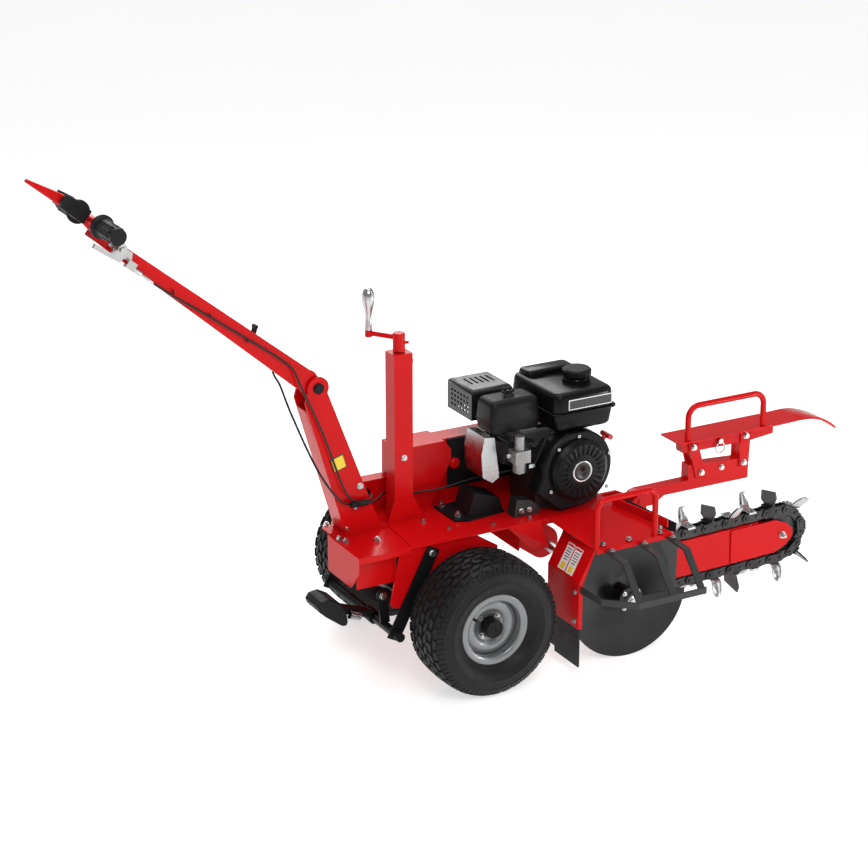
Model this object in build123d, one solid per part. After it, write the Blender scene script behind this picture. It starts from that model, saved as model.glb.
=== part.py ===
from build123d import *
from math import cos, sin, tan, pi, radians
import os

# A walk-behind trencher. Millimetres, +X toward the digging boom, +Z up, ground at Z = 0.
# Places below are measured from the point on the ground under the axle; SHIFT moves that
# point so that the machine's origin is the centre of its footprint.
SHIFT = (-84.07, 98.66)

# Driving dimensions
TYRE_D = 457.2            # 18x8.50-8 turf tyre
TYRE_W = 211.0
TRACK = 676.0
SEAT_R = 101.6            # 8 inch rim
FLANGE_R = 119.5
RIM_HALF = 77.0
HUB_R = 31.0
AXLE_R = 15.0
AXLE_Z = TYRE_D / 2
FIT = 0.05                # radial running clearance

DECK_Z = 480.0            # top of the deck plate
DECK_T = 6.0
NEAR_Y = -230.0           # near edge of the deck

HEAD = (524.0, 208.0)     # head shaft, X and Z
BOOM_Y = -190.0
BOOM_TILT = 1.1           # degrees
PITCH = 42.01             # 1.654 inch digging chain
TEETH = 13
LINKS = 48
BOOM_HALF = 64.5          # half the height of the boom bar
ATTACH_EVERY = 2          # a cutter or paddle on every second link

AUGER_R = 208.0
AUGER_PITCH = 96.0
AUGER_TURNS = 1.2

POST_X = (-150.0, -84.0)
POST_Y = (-30.0, 30.0)
POST_TOP = 1046.0
CRANK_DIR = (-0.57, 0.82)
CRANK_LEN = 107.0

PIVOT = (-420.0, 988.0)   # handle fold axis, X and Z
ARM_ANGLE = 39.0          # rise of the upper handle arm, degrees
BAR_S = 930.0             # crossbar, along the arm from the fold axis
BAR_N = 43.0
BAR_HALF = 210.0

CRANKSHAFT = (425.0, 620.0)
COUNTER = (0.0, 590.0)
PULLEY_Y = (98.0, 134.0)

BRAKE_PIVOT = (-125.0, 448.0)
BRAKE_BAR = (-255.0, 196.0)

CRUMBER_Y = (-205.0, -165.0)
CRUMBER_PIVOT = (668.0, 458.0)

D = (-cos(radians(ARM_ANGLE)), sin(radians(ARM_ANGLE)))
N = (sin(radians(ARM_ANGLE)), cos(radians(ARM_ANGLE)))


# ---------------------------------------------------------------- helpers
def block(x, y, z):
    """A box between low and high values on each axis."""
    size = (x[1] - x[0], y[1] - y[0], z[1] - z[0])
    return Pos((x[0] + x[1]) / 2, (y[0] + y[1]) / 2, (z[0] + z[1]) / 2) * Box(*size)


def rod(start, end, radius):
    """A round bar from start to end."""
    start, end = Vector(*start), Vector(*end)
    return Solid.make_cylinder(radius, (end - start).length, Plane(start, z_dir=end - start))


def prism(points, vector):
    """A flat polygon pushed along a vector."""
    vector = Vector(*vector)
    return extrude(make_face(Polyline(*points, close=True)), amount=vector.length, dir=vector)


def side_plate(points, y):
    """An outline of (x, z) points, as a plate between two y values."""
    return prism([(x, y[0], z) for x, z in points], (0, y[1] - y[0], 0))


def flat_plate(points, z):
    """An outline of (x, y) points, as a plate between two z values."""
    return prism([(x, y, z[0]) for x, y in points], (0, 0, z[1] - z[0]))


def turned(profile, x, y, z):
    """A closed (radius, y offset) outline turned about a line along Y."""
    face = make_face(Polyline(*[(x + r, y + w, z) for r, w in profile], close=True))
    return revolve(face, Axis((x, y, z), (0, 1, 0)))


def turned_up(profile, x, y, z):
    """A closed (radius, height) outline turned about a vertical line."""
    face = make_face(Polyline(*[(x + r, y, z + h) for r, h in profile], close=True))
    return revolve(face, Axis((x, y, z), (0, 0, 1)))


def bent_bar(points, radius, bend):
    """A round bar along straight runs with rounded corners."""
    path = FilletPolyline(*points, radius=bend)
    start = Plane(points[0], z_dir=Vector(*points[1]) - Vector(*points[0]))
    return sweep(start * Circle(radius), path=path)


def cord(points, radius):
    """A round cable along straight runs joined by arcs as large as the runs allow."""
    places = [Vector(*p) for p in points]
    radii = []
    for a, b, c in zip(places, places[1:], places[2:]):
        turn = radians((b - a).get_angle(c - b))
        radii.append(0.45 * min((b - a).length, (c - b).length) / tan(turn / 2))
    path = FilletPolyline(*points, radius=radii)
    print("cord", "length", round(path.length), "smallest radius", round(min(radii)))
    start = Plane(points[0], z_dir=places[1] - places[0])
    return sweep(start * Circle(radius), path=path)


def bolt(at, direction, across=15.0, stud=0.0):
    """A washer and hexagon head standing on a surface, with an optional stud end."""
    seat = Plane(at, z_dir=direction)
    head = extrude(seat * Circle(across * 0.72), 2.0)
    head += extrude(seat.offset(2.0) * RegularPolygon(across / 2, 6, major_radius=False), across * 0.5)
    if stud:
        head += extrude(seat.offset(2.0 + across * 0.5) * Circle(across * 0.3), stud)
    return head


def arm_point(s, n, y):
    """A place on the upper handle arm: s along it from the fold axis, n square to it."""
    return (PIVOT[0] + D[0] * s + N[0] * n, y, PIVOT[1] + D[1] * s + N[1] * n)


def arm_plate(points, y):
    """An outline of (s, n) points on the handle arm, as a plate between two y values."""
    return prism([arm_point(s, n, y[0]) for s, n in points], (0, y[1] - y[0], 0))


def boom_point(s, y, o):
    """A place on the boom: s along it from the head shaft, o square to it."""
    c, t = cos(radians(BOOM_TILT)), sin(radians(BOOM_TILT))
    return (HEAD[0] + s * c - o * t, BOOM_Y + y, HEAD[1] + s * t + o * c)


def boom_plate(points, y):
    """An outline of (s, o) points on the boom, as a plate between two y offsets."""
    return prism([boom_point(s, y[0], o) for s, o in points], (0, y[1] - y[0], 0))


def together(shapes):
    """Separate solids kept side by side in one node."""
    return Compound([solid for shape in shapes for solid in shape.solids()])


# ---------------------------------------------------------------- wheels
def tyre(side):
    """Turf tyre: crowned tread, rounded sidewalls and an air space open to the rim."""
    half = TYRE_W / 2
    y = side * TRACK / 2
    at = lambda r, w: (r, y + w, AXLE_Z)
    outer = [
        Line(at(SEAT_R, 52), at(SEAT_R, 72)),
        Line(at(SEAT_R, 72), at(121, 72)),
        ThreePointArc(at(121, 72), at(160, half), at(207, 93)),
        ThreePointArc(at(207, 93), at(220, 84), at(225, 70)),
        ThreePointArc(at(225, 70), at(TYRE_D / 2, 0), at(225, -70)),
        ThreePointArc(at(225, -70), at(220, -84), at(207, -93)),
        ThreePointArc(at(207, -93), at(160, -half), at(121, -72)),
        Line(at(121, -72), at(SEAT_R, -72)),
        Line(at(SEAT_R, -72), at(SEAT_R, -52)),
        Line(at(SEAT_R, -52), at(130, -58)),
        ThreePointArc(at(130, -58), at(165, -half + 12), at(200, -80)),
        ThreePointArc(at(200, -80), at(214, 0), at(200, 80)),
        ThreePointArc(at(200, 80), at(165, half - 12), at(130, 58)),
        Line(at(130, 58), at(SEAT_R, 52)),
    ]
    body = revolve(make_face(outer), Axis((0, y, AXLE_Z), (0, 1, 0)))
    for w in (-38, 0, 38):
        body -= turned([(220, w - 3), (232, w - 3), (232, w + 3), (220, w + 3)], 0, y, AXLE_Z)
    return body


def rim(side):
    """Pressed steel rim: two flanges, a barrel and a dished disc with hand holes, and its valve."""
    y = side * TRACK / 2
    out = side
    barrel = turned([(94, -RIM_HALF), (FLANGE_R, -RIM_HALF), (FLANGE_R, -72), (SEAT_R, -72), (SEAT_R, 72),
                     (FLANGE_R, 72), (FLANGE_R, RIM_HALF), (94, RIM_HALF)], 0, y, AXLE_Z)
    dish = turned([(HUB_R, out * 30), (52, out * 30), (66, out * 44), (94, out * 38), (94, out * 44),
                   (64, out * 50), (50, out * 36), (HUB_R, out * 36)], 0, y, AXLE_Z)
    holes = [rod((0, y, AXLE_Z), (0, y + out * 70, AXLE_Z), 5)]
    wheel = barrel + dish
    for k in range(4):
        angle = radians(45 + 90 * k)
        x, z = 79 * cos(angle), AXLE_Z + 79 * sin(angle)
        wheel -= rod((x, y + out * 20, z), (x, y + out * 60, z), 9)
    valve = rod((-62, y + out * 47, AXLE_Z + 40), (-66, y + out * 70, AXLE_Z + 42), 4.5)
    return wheel + valve


def hub(side):
    """Black hub with a closed outer cap, running on the axle."""
    y = side * TRACK / 2
    start, end = y - side * 76, y + side * 74
    body = rod((0, start, AXLE_Z), (0, end, AXLE_Z), HUB_R)
    body -= rod((0, start, AXLE_Z), (0, end - side * 12, AXLE_Z), AXLE_R + FIT)
    edges = body.edges().filter_by(GeomType.CIRCLE).sort_by(lambda e: side * e.center().Y)
    return chamfer(edges[-1], 4)


def axle_shaft():
    return rod((0, -TRACK / 2 - 60, AXLE_Z), (0, TRACK / 2 + 60, AXLE_Z), AXLE_R)


# ---------------------------------------------------------------- chassis
def deck():
    """Folded deck plate with its end plate, webs, and the flared corner gussets."""
    outline = [(-383, NEAR_Y), (560, NEAR_Y), (560, 155), (42, 155), (42, 222), (-232, 222), (-330, 70),
               (-383, -12)]
    top = flat_plate(outline, (DECK_Z - DECK_T, DECK_Z))
    top -= block((-146, -88), (-26, 26), (460, 490))
    end = prism([(-383, NEAR_Y, 474), (-383, -12, 474), (-383, -12, 361), (-383, -169, 361),
                 (-383, NEAR_Y, 428)], (5, 0, 0))
    lip = block((-378, 556), (NEAR_Y, NEAR_Y + 4), (460, 474))
    lip -= block((-200, 240), (NEAR_Y - 1, NEAR_Y + 5), (440, 474))
    web = block((-374, -236), (-196, -191), (361, 474))
    cross = block((200, 206), (-213, 154), (380, 474))
    spine = block((206, 556), (60, 66), (400, 474))
    frame = top + end + lip + web + cross + spine
    facet = prism([(150, NEAR_Y, 476), (272, NEAR_Y, 476), (286, -262, 396)], (0, 0, 4))
    facet += prism([(150, NEAR_Y, 476), (286, -262, 396), (222, -250, 398)], (0, 0, 4))
    return frame + facet


def axle_bracket(side):
    """Plate under the deck that carries the axle and the brake pivot."""
    outline = [(-232, 473.9), (38, 473.9), (120, 420), (110, 330), (36, 196), (-36, 196), (-150, 262), (-262, 284),
               (-268, 300)]
    y = (214, 220) if side > 0 else (-220, -214)
    plate = side_plate(outline, y)
    return plate - rod((0, -300, AXLE_Z), (0, 300, AXLE_Z), AXLE_R)


def axle():
    """Fixed axle, the two bracket plates that hold it, and the brake pivot pins."""
    return axle_shaft() + axle_bracket(-1) + axle_bracket(1) + brake_pins()


def crank_post():
    """Square post with a flared foot and a top cap that guides the jack screw."""
    x, y = POST_X, POST_Y
    cx = (x[0] + x[1]) / 2
    tube = block(x, y, (DECK_Z, POST_TOP)) - block((x[0] + 5, x[1] - 5), (y[0] + 5, y[1] - 5), (470, POST_TOP - 6))
    tube -= rod((cx, 0, POST_TOP - 10), (cx, 0, POST_TOP + 5), 9 + FIT)
    foot = prism([(-180, y[0] - 4, DECK_Z), (-44, y[0] - 4, DECK_Z), (x[1], y[0] - 4, 560),
                  (x[0], y[0] - 4, 560)], (0, 4, 0))
    shelf = prism([(-180, y[0] - 4, DECK_Z), (-44, y[0] - 4, DECK_Z), (-60, -226, DECK_Z),
                   (-196, -226, DECK_Z)], (0, 0, 4))
    boss = rod((x[1], 0, 1012), (x[1] + 12, 0, 1012), 11)
    return tube + foot + shelf + boss


def belt_guard():
    """Closed belt guard behind the engine, with its lower tail and a black-lined recess."""
    tall = [(-100, 480), (20, 480), (95, 628), (95, 667), (70, 699), (-100, 699)]
    hollow = [(-96, 484), (17, 484), (91, 629), (91, 666), (68, 695), (-96, 695)]
    box = side_plate(tall, (42, 155)) + block((20, 500), (80, 155), (480, 690))
    box -= side_plate(hollow, (46, 151))
    box -= block((17, 496), (84, 151), (484, 686))
    box -= rod((CRANKSHAFT[0], 70, CRANKSHAFT[1]), (CRANKSHAFT[0], 90, CRANKSHAFT[1]), 20)
    box -= rod((COUNTER[0], 148, COUNTER[1]), (COUNTER[0], 160, COUNTER[1]), 20)
    tail = block((-236, -104), (104, 152), (480, 586)) - block((-232, -104), (108, 148), (480, 582))
    plug = turned([(0, 0), (19, 0), (19, -9), (14, -14), (0, -14)], 122, 72, 604)
    return box + tail + plug + drive_case()


def guard_trim():
    """Black grommet on the guard's tail and the black lining of its recess."""
    grommet = turned([(6, 0), (17, 0), (17, -6), (12, -9), (6, -9)], -190, 104, 548)
    lining = block((100, 400), (72, 79.5), (520, 688))
    return together([grommet, lining])


def drive_case():
    """Closed final-drive case on the far side, from the countershaft down to the head shaft."""
    start, end = Vector(COUNTER[0], 155.2, COUNTER[1]), Vector(HEAD[0], 155.2, HEAD[1])
    along = (end - start).normalized()
    across = Vector(-along.Z, 0, along.X) * 58
    body = prism([start + across, end + across, end - across, start - across], (0, 46, 0))
    body += rod(start, start + Vector(0, 46, 0), 58) + rod(end, end + Vector(0, 46, 0), 58)
    inner = prism([start + across * 0.92 + Vector(0, 4, 0), end + across * 0.92 + Vector(0, 4, 0),
                   end - across * 0.92 + Vector(0, 4, 0), start - across * 0.92 + Vector(0, 4, 0)], (0, 38, 0))
    inner += rod(start + Vector(0, 4, 0), start + Vector(0, 42, 0), 53.4)
    inner += rod(end + Vector(0, 4, 0), end + Vector(0, 42, 0), 53.4)
    body -= inner
    body -= rod((COUNTER[0], 150, COUNTER[1]), (COUNTER[0], 170, COUNTER[1]), 12 + FIT)
    body -= rod((HEAD[0], 150, HEAD[1]), (HEAD[0], 170, HEAD[1]), 17.5 + FIT)
    return body


def boom_mount():
    """Welded mount under the deck: bearing plate, and the root that carries the boom bar."""
    plate = side_plate([(440, 474), (556, 474), (700, 400), (760, 300), (760, 160), (560, 130), (470, 140),
                        (430, 250)], (-118, -106))
    plate -= rod((HEAD[0], -130, HEAD[1]), (HEAD[0], -100, HEAD[1]), 17.5 + FIT)
    bearing = turned([(17.5 + FIT, 0), (38, 0), (38, 26), (17.5 + FIT, 26)], HEAD[0], -106, HEAD[1])
    root = boom_plate([(104, -46), (225, -46), (225, 46), (104, 46)], (20, 72))
    mast = side_plate([(560, 470), (560, 440), (640, 425), (700, 425), (700, 440), (640, 470)], (-118, -106))
    tie = block((500, 560), (-106, 60), (462, 474))
    return plate + bearing + root + mast + tie + crumber_bracket()


# ---------------------------------------------------------------- crank and jack
def jack_screw():
    """Crank collar and arm on the screw that runs down inside the post."""
    cx = (POST_X[0] + POST_X[1]) / 2
    screw = rod((cx, 0, 560), (cx, 0, POST_TOP + 4), 9)
    collar = turned_up([(0, 4), (20, 4), (20, 60), (17, 63), (0, 63)], cx, 0, POST_TOP)
    end = (cx + CRANK_DIR[0] * CRANK_LEN, CRANK_DIR[1] * CRANK_LEN, POST_TOP + 46)
    arm = rod((cx + CRANK_DIR[0] * 14, CRANK_DIR[1] * 14, POST_TOP + 46), end, 8)
    pin = rod((end[0], end[1], end[2]), (end[0], end[1], end[2] + 74), 5)
    eye = rod((end[0], end[1], end[2] - 11), (end[0], end[1], end[2] + 11), 12)
    set_bolt = rod((cx + 15, -6, POST_TOP + 30), (cx + 29, -12, POST_TOP + 30), 5)
    return screw + collar + arm + pin + eye + set_bolt


def crank_knob():
    """Pear-shaped polished knob that turns freely on the crank's pin."""
    cx = (POST_X[0] + POST_X[1]) / 2
    x, y = cx + CRANK_DIR[0] * CRANK_LEN, CRANK_DIR[1] * CRANK_LEN
    z = POST_TOP + 46 + 12
    side = Spline((x + 12.5, y, z), (x + 10.5, y, z + 45), (x + 20.5, y, z + 96), (x + 14, y, z + 130),
                  (x, y, z + 137), tangents=((0, 0, 1), (-1, 0, 0)))
    outline = [side, Line((x, y, z + 137), (x, y, z + 68)), Line((x, y, z + 68), (x + 5 + FIT, y, z + 68)),
               Line((x + 5 + FIT, y, z + 68), (x + 5 + FIT, y, z)), Line((x + 5 + FIT, y, z), (x + 12.5, y, z))]
    return revolve(make_face(outline), Axis((x, y, z), (0, 0, 1)))


def jack_leg():
    """Square inner leg with its screw nut and ground foot."""
    cx = (POST_X[0] + POST_X[1]) / 2
    leg = block((cx - 26, cx + 26), (-23, 23), (262, 900)) - block((cx - 22, cx + 22), (-19, 19), (266, 880))
    leg -= rod((cx, 0, 870), (cx, 0, 910), 9 + FIT)
    foot = block((cx - 55, cx + 55), (-50, 50), (254, 262))
    return leg + foot


# ---------------------------------------------------------------- handle
def lower_handle():
    """Leaning box-section arm whose two cheeks carry the fold pin."""
    outer = [(-333, 480), (-205, 480), (-409, 1022), (-447, 1012), (-466, 942)]
    inner = [(-327, 486), (-214, 486), (-405, 996), (-440, 986), (-458, 940)]
    body = side_plate(outer, (-42, 42)) - side_plate(inner, (-36, 36))
    body += rod((PIVOT[0], -42, PIVOT[1]), (PIVOT[0], 42, PIVOT[1]), 36)
    body -= side_plate([(-520, 900), (-380, 930), (-340, 1100), (-520, 1100)], (-35, 35))
    foot = flat_plate([(-374, -44), (-182, -44), (-182, 44), (-374, 44)], (480, 486))
    foot -= side_plate(outer, (-42, 42))
    body += foot
    return body - rod((PIVOT[0], -60, PIVOT[1]), (PIVOT[0], 60, PIVOT[1]), 10)


def fold_pin():
    """Fold pin with black end caps."""
    pin = rod((PIVOT[0], -42, PIVOT[1]), (PIVOT[0], 42, PIVOT[1]), 10)
    for side in (-1, 1):
        cap = turned([(0, 0), (17, 0), (17, side * 5), (13, side * 9), (0, side * 9)], PIVOT[0], side * 42, PIVOT[1])
        pin += cap
    return pin


def upper_handle():
    """Tapered box-section arm, its crossbar and the stub that carries the presence lever."""
    outer = [(30, -38), (30, 33), (905, 33), (905, -2)]
    inner = [(36, -32), (36, 27), (900, 27), (900, 4)]
    arm = arm_plate(outer, (-30, 30)) - arm_plate(inner, (-25, 25))
    eye = rod(arm_point(0, 0, -34), arm_point(0, 0, 34), 30) + arm_plate([(0, -30), (34, -36), (34, 30), (0, 30)],
                                                                       (-30, 30))
    eye -= rod(arm_point(0, 0, -40), arm_point(0, 0, 40), 10 + FIT)
    bar = rod(arm_point(BAR_S, BAR_N, -BAR_HALF), arm_point(BAR_S, BAR_N, BAR_HALF), 14)
    stub = rod(arm_point(870, 20, 0), arm_point(BAR_S + 52, BAR_N + 3, 0), 16)
    return arm + eye + bar + stub


def handle_grips():
    """Ribbed rubber grips on the crossbar, with a flange at the inner end."""
    grips = []
    for side in (-1, 1):
        base = arm_point(BAR_S, BAR_N, side * 92)
        ring = turned([(14, 0), (36, 0), (36, side * 6), (27, side * 12), (25, side * 126), (14, side * 126)],
                      base[0], base[1], base[2])
        for k in range(10):
            angle = radians(36 * k)
            x, z = base[0] + 25 * cos(angle), base[2] + 25 * sin(angle)
            ring += rod((x, base[1] + side * 10, z), (x, base[1] + side * 108, z), 3.5)
        end = turned([(0, side * 118.5), (25, side * 118.5), (25, side * 126), (0, side * 126)], *base)
        grips.append(ring + end)
    return together(grips)


def lever_bracket():
    """Black bracket behind the crossbar that holds the presence lever."""
    body = arm_plate([(955, 20), (1040, 24), (1050, 40), (1046, 64), (1000, 70), (955, 64)], (-36, 36))
    body -= arm_plate([(940, -20), (976, -20), (976, 100), (940, 100)], (-20, 20))
    body -= arm_plate([(988, -20), (1060, -20), (1060, 100), (988, 100)], (-21, 21))
    body -= rod(arm_point(870, 20, 0), arm_point(BAR_S + 52, BAR_N + 3, 0), 16)
    body -= rod(arm_point(1022, 46, -40), arm_point(1022, 46, 40), 5)
    return together([body, bracket_pin()])


def bracket_pin():
    return rod(arm_point(1022, 46, -38), arm_point(1022, 46, 38), 5)


def presence_lever():
    """Tapered red lever that the operator holds down."""
    root = Plane(arm_point(1008, 46, 0), z_dir=(D[0], 0, D[1]), x_dir=(0, 1, 0))
    tip = Plane(arm_point(1160, 33, 0), z_dir=(D[0], 0, D[1]), x_dir=(0, 1, 0))
    body = loft([root * RectangleRounded(38, 40, 10), tip * RectangleRounded(11, 10, 4)])
    return body - rod(arm_point(1022, 46, -40), arm_point(1022, 46, 40), 5 + FIT)


def clutch_mount():
    """Silver clamp on the arm's near face that carries the clutch lever and its cable adjuster."""
    plate = arm_plate([(776, 30), (846, 30), (856, 12), (820, 0), (762, 4)], (-36, -30))
    boss = rod(arm_point(822, 20, -36), arm_point(822, 20, -50), 20)
    stop = arm_plate([(748, 10), (778, 10), (778, -16), (748, -16)], (-50, -30.5))
    adjuster = rod(arm_point(776, -7, -41), arm_point(722, -8, -41), 8)
    ferrule = rod(arm_point(722, -8, -41), arm_point(672, -10, -41), 5)
    pin = rod(arm_point(822, 20, -50), arm_point(822, 20, -68), 5)
    pin += rod(arm_point(822, 20, -68), arm_point(822, 20, -74), 9)
    return plate + boss + stop + adjuster + ferrule + pin


def clutch_lever():
    """Hand lever hinged on the clamp's pin."""
    blade = arm_plate([(806, 6), (838, 8), (848, -4), (905, -8), (903, -22), (840, -18), (806, -14)], (-66, -54))
    eye = rod(arm_point(822, 20, -66), arm_point(822, 20, -54), 15)
    neck = arm_plate([(808, 12), (836, 12), (840, 0), (806, 0)], (-66, -54))
    return blade + eye + neck - rod(arm_point(822, 20, -80), arm_point(822, 20, -40), 5 + FIT)


def throttle_mount():
    """Black throttle housing on the arm's far face."""
    body = arm_plate([(208, -16), (262, -16), (268, 14), (250, 30), (214, 30)], (30.5, 46))
    body += rod(arm_point(236, 8, 46), arm_point(236, 8, 50), 15)
    pin = rod(arm_point(236, 8, 50), arm_point(236, 8, 56.3), 4)
    return body + pin + rod(arm_point(236, 8, 56.3), arm_point(236, 8, 60), 7)


def throttle_lever():
    eye = rod(arm_point(236, 8, 50.4), arm_point(236, 8, 56), 13)
    blade = arm_plate([(230, 8), (242, 8), (262, 50), (250, 54), (240, 44)], (50.4, 56))
    knob = rod(arm_point(255, 51, 40), arm_point(255, 51, 60), 7)
    return eye + blade + knob - rod(arm_point(236, 8, 30), arm_point(236, 8, 70), 4 + FIT)


CLUTCH_UPPER = [arm_point(671.5, -10, -41), arm_point(615, -10, -41), arm_point(556, -7, -40), arm_point(497, -3, -39),
                arm_point(438, 0, -38.5), arm_point(379, 2, -38), arm_point(320, 5, -38), arm_point(261, 8, -38.5),
                arm_point(202, 10, -39.5), arm_point(150, 10.5, -41), arm_point(112, 7, -43)]
CLUTCH_LOWER = [(-481, -52, 998), (-464, -53, 960), (-446, -55, 920), (-426, -56, 872), (-407, -57, 822),
                (-389, -58, 770), (-372, -59, 718), (-356, -61, 668), (-338, -63, 626), (-312, -64, 599),
                (-280, -64, 592), (-248, -56, 594), (-230, -24, 590), (-212, 12, 578), (-199, 52, 560),
                (-190, 94.8, 548)]
THROTTLE_UPPER = [arm_point(207.5, 4, 38), arm_point(186, 1, 38.5), arm_point(165, -6, 40), arm_point(143, -16, 42.5),
                  arm_point(122, -29, 46), arm_point(105, -42, 49)]
THROTTLE_LOWER = [(-508, 50, 990), (-494, 48, 946), (-480, 42, 900), (-464, 31, 852), (-449, 17, 804),
                  (-435, -4, 757), (-421, -27, 712), (-402, -47, 670), (-378, -55, 631), (-350, -56, 600),
                  (-316, -55, 585), (-280, -54, 581), (-244, -51, 579), (-216, -32, 577), (-188, -4, 572),
                  (-161, 35, 566), (-119, 37.5, 557), (-76, 36, 550), (-36, 25, 547), (8, 10, 550),
                  (54, 0, 556), (98, -3, 563), (144, -6, 570), (188, -24, 579), (226, -44, 589),
                  (262, -60, 596), (299.2, -70, 600)]


# ---------------------------------------------------------------- parking brake
def brake_frame():
    """Swinging frame: two side arms and a cross tube whose ends press on the tyre treads."""
    px, pz = BRAKE_PIVOT
    bx, bz = BRAKE_BAR
    parts = rod((bx, -262, bz), (bx, 262, bz), 15)
    length = ((px - bx) ** 2 + (pz - bz) ** 2) ** 0.5
    ux, uz = (bx - px) / length, (bz - pz) / length
    vx, vz = -uz * 22, ux * 22
    ends = [(px - ux * 17 + vx, pz - uz * 17 + vz), (px - ux * 17 - vx, pz - uz * 17 - vz),
            (bx + ux * 20 - vx, bz + uz * 20 - vz), (bx + ux * 20 + vx, bz + uz * 20 + vz)]
    for y in ((-230, -222), (222, 230)):
        arm = side_plate(ends, y) - rod((px, -240, pz), (px, 240, pz), 8 + FIT)
        parts += arm
    parts += side_plate([(bx - 18, bz + 12), (bx + 16, bz + 12), (bx + 4, bz + 120), (bx - 26, bz + 120)],
                        (-160, -152))
    parts += rod((bx - 11, -162, bz + 108), (bx - 11, -150, bz + 108), 17)
    return parts


def brake_pins():
    """Pivot bolts of the brake frame."""
    px, pz = BRAKE_PIVOT
    pins = []
    for side in (-1, 1):
        shank = rod((px, side * 220, pz), (px, side * 230.3, pz), 8)
        shank += rod((px, side * 230.3, pz), (px, side * 232, pz), 8)
        pins.append(shank)
    return together(pins)


def pedal_bar():
    """Flat bar from the pedal's sleeve to its pad."""
    bx, bz = BRAKE_BAR
    return prism([(bx - 18, -84, bz + 2), (bx - 8, -84, bz + 20), (-386, -84, 262), (-396, -84, 243)], (0, 44, 0))


def brake_pedal():
    """Pedal lever with its rubber pad, on a sleeve around the cross tube."""
    bx, bz = BRAKE_BAR
    sleeve = turned([(15.3, -26), (22, -26), (22, 26), (15.3, 26)], bx, -62, bz)
    spring = rod((-312, -94, 214), (-350, -94, 229), 11)
    lever = pedal_bar() - rod((bx, -120, bz), (bx, 0, bz), 15.3)
    return sleeve + lever + spring


def pedal_pad():
    """Rubber pad that wraps the end of the pedal lever."""
    outline = [(-468, 284), (-463, 268), (-442, 248), (-384, 204), (-370, 203), (-364, 216), (-368, 246),
               (-396, 286), (-430, 306), (-456, 302)]
    return side_plate(outline, (-112, -14)) - pedal_bar()


# ---------------------------------------------------------------- guards around the auger
def mud_guard():
    """Sheet between the tyre and the auger: upright lower part and a slope up to the hood."""
    outline = [(286, 177), (290, 177), (290, 336), (344, 436), (340, 439), (286, 339)]
    sheet = side_plate(outline, (-447, -258))
    side = prism([(290, -447, 177), (290, -447, 336), (344, -447, 436), (300, -447, 330), (300, -447, 177)],
                 (0, 4, 0))
    return sheet + side


def rubber_trim():
    """Rubber flap under the mud guard, curtain behind the hood, and the belt guard's black trim."""
    flap = block((290.2, 296), (-442, -262), (42, 190)) - block((290, 297), (-300, -262), (42, 60))
    curtain = prism([(600, -228, 486), (678, -405, 452), (678, -405, 418), (600, -228, 424)], (3, 0, 0))
    return together([flap, curtain, guard_trim()])


def auger_hood():
    """Sloping top plate over the auger, with the upstanding angle on its right edge."""
    low, high = 436.0, DECK_Z - 4
    top = prism([(300, NEAR_Y, high), (344, -447, low), (642, -447, low), (560, NEAR_Y, high)], (0, 0, 4))
    lip = block((350, 640), (-447, -443), (424, 436))
    angle = prism([(547, NEAR_Y, high + 4), (640, -412, low + 10), (640, -412, low + 36), (547, NEAR_Y, high + 30)],
                  (5, 2, 0))
    return top + lip + angle


def hood_handle():
    """Loop handle standing on the hood's near edge."""
    y = -440
    loop = bent_bar([(352, y, 441.5), (352, y, 604), (572, y, 604), (572, y, 441.5)], 10, 34)
    return loop - auger_hood()


def auger_shield():
    """Black shield plate between the auger and the chain."""
    shield = side_plate([(338, 416), (620, 416), (792, 316), (792, 170), (700, 120), (420, 110), (340, 200)],
                        (-259, -256))
    shield -= rod((HEAD[0], -270, HEAD[1]), (HEAD[0], -250, HEAD[1]), 36)
    return shield


def guard_cage():
    """Three bent flat bars and a lower rail that keep feet away from the auger."""
    bars = None
    for x in (380, 505, 612):
        flat = prism([(x, -447, 432), (x, -447, 426), (x, -545, 421), (x, -635, 318), (x, -641, 321),
                      (x, -549, 427)], (24, 0, 0))
        bars = flat if bars is None else bars + flat
    rail = block((384, 640), (-642, -636), (304, 326))
    side = prism([(290, -447, 304), (296, -447, 304), (303, -558, 304), (297, -561, 304)], (0, 0, 22))
    corner = prism([(297, -561, 304), (303, -558, 304), (386, -636, 304), (384, -642, 304)], (0, 0, 22))
    return together([bars + rail + side + corner, auger_shield()])


# ---------------------------------------------------------------- auger and head shaft
def auger():
    """Soil auger: one helical flight on a tube, clamped to the head shaft."""
    y0, y1 = -382, -264
    tube = rod((HEAD[0], y0, HEAD[1]), (HEAD[0], y1, HEAD[1]), 30)
    turns = (y1 - y0 - 6) / AUGER_PITCH
    height = AUGER_PITCH * turns
    base = Plane((HEAD[0], y0 + 3, HEAD[1]), z_dir=(0, 1, 0), x_dir=(1, 0, 0))
    path = Helix(AUGER_PITCH, height, (AUGER_R + 29) / 2)
    mid = (AUGER_R + 29) / 2
    section = Plane((mid, 0, 0), x_dir=(1, 0, 0), z_dir=(0, 1, 0)) * Rectangle(AUGER_R - 29, 5)
    flight = sweep(section, path=path, is_frenet=True)
    flight = base.location * flight
    body = tube + flight
    hub_plate = turned([(0, 0), (46, 0), (46, -8), (26, -14), (0, -14)], HEAD[0], y0, HEAD[1])
    body += hub_plate
    body += auger_bolts()
    return body - rod((HEAD[0], y0 + 10, HEAD[1]), (HEAD[0], y1 + 1, HEAD[1]), 17.5)


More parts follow.
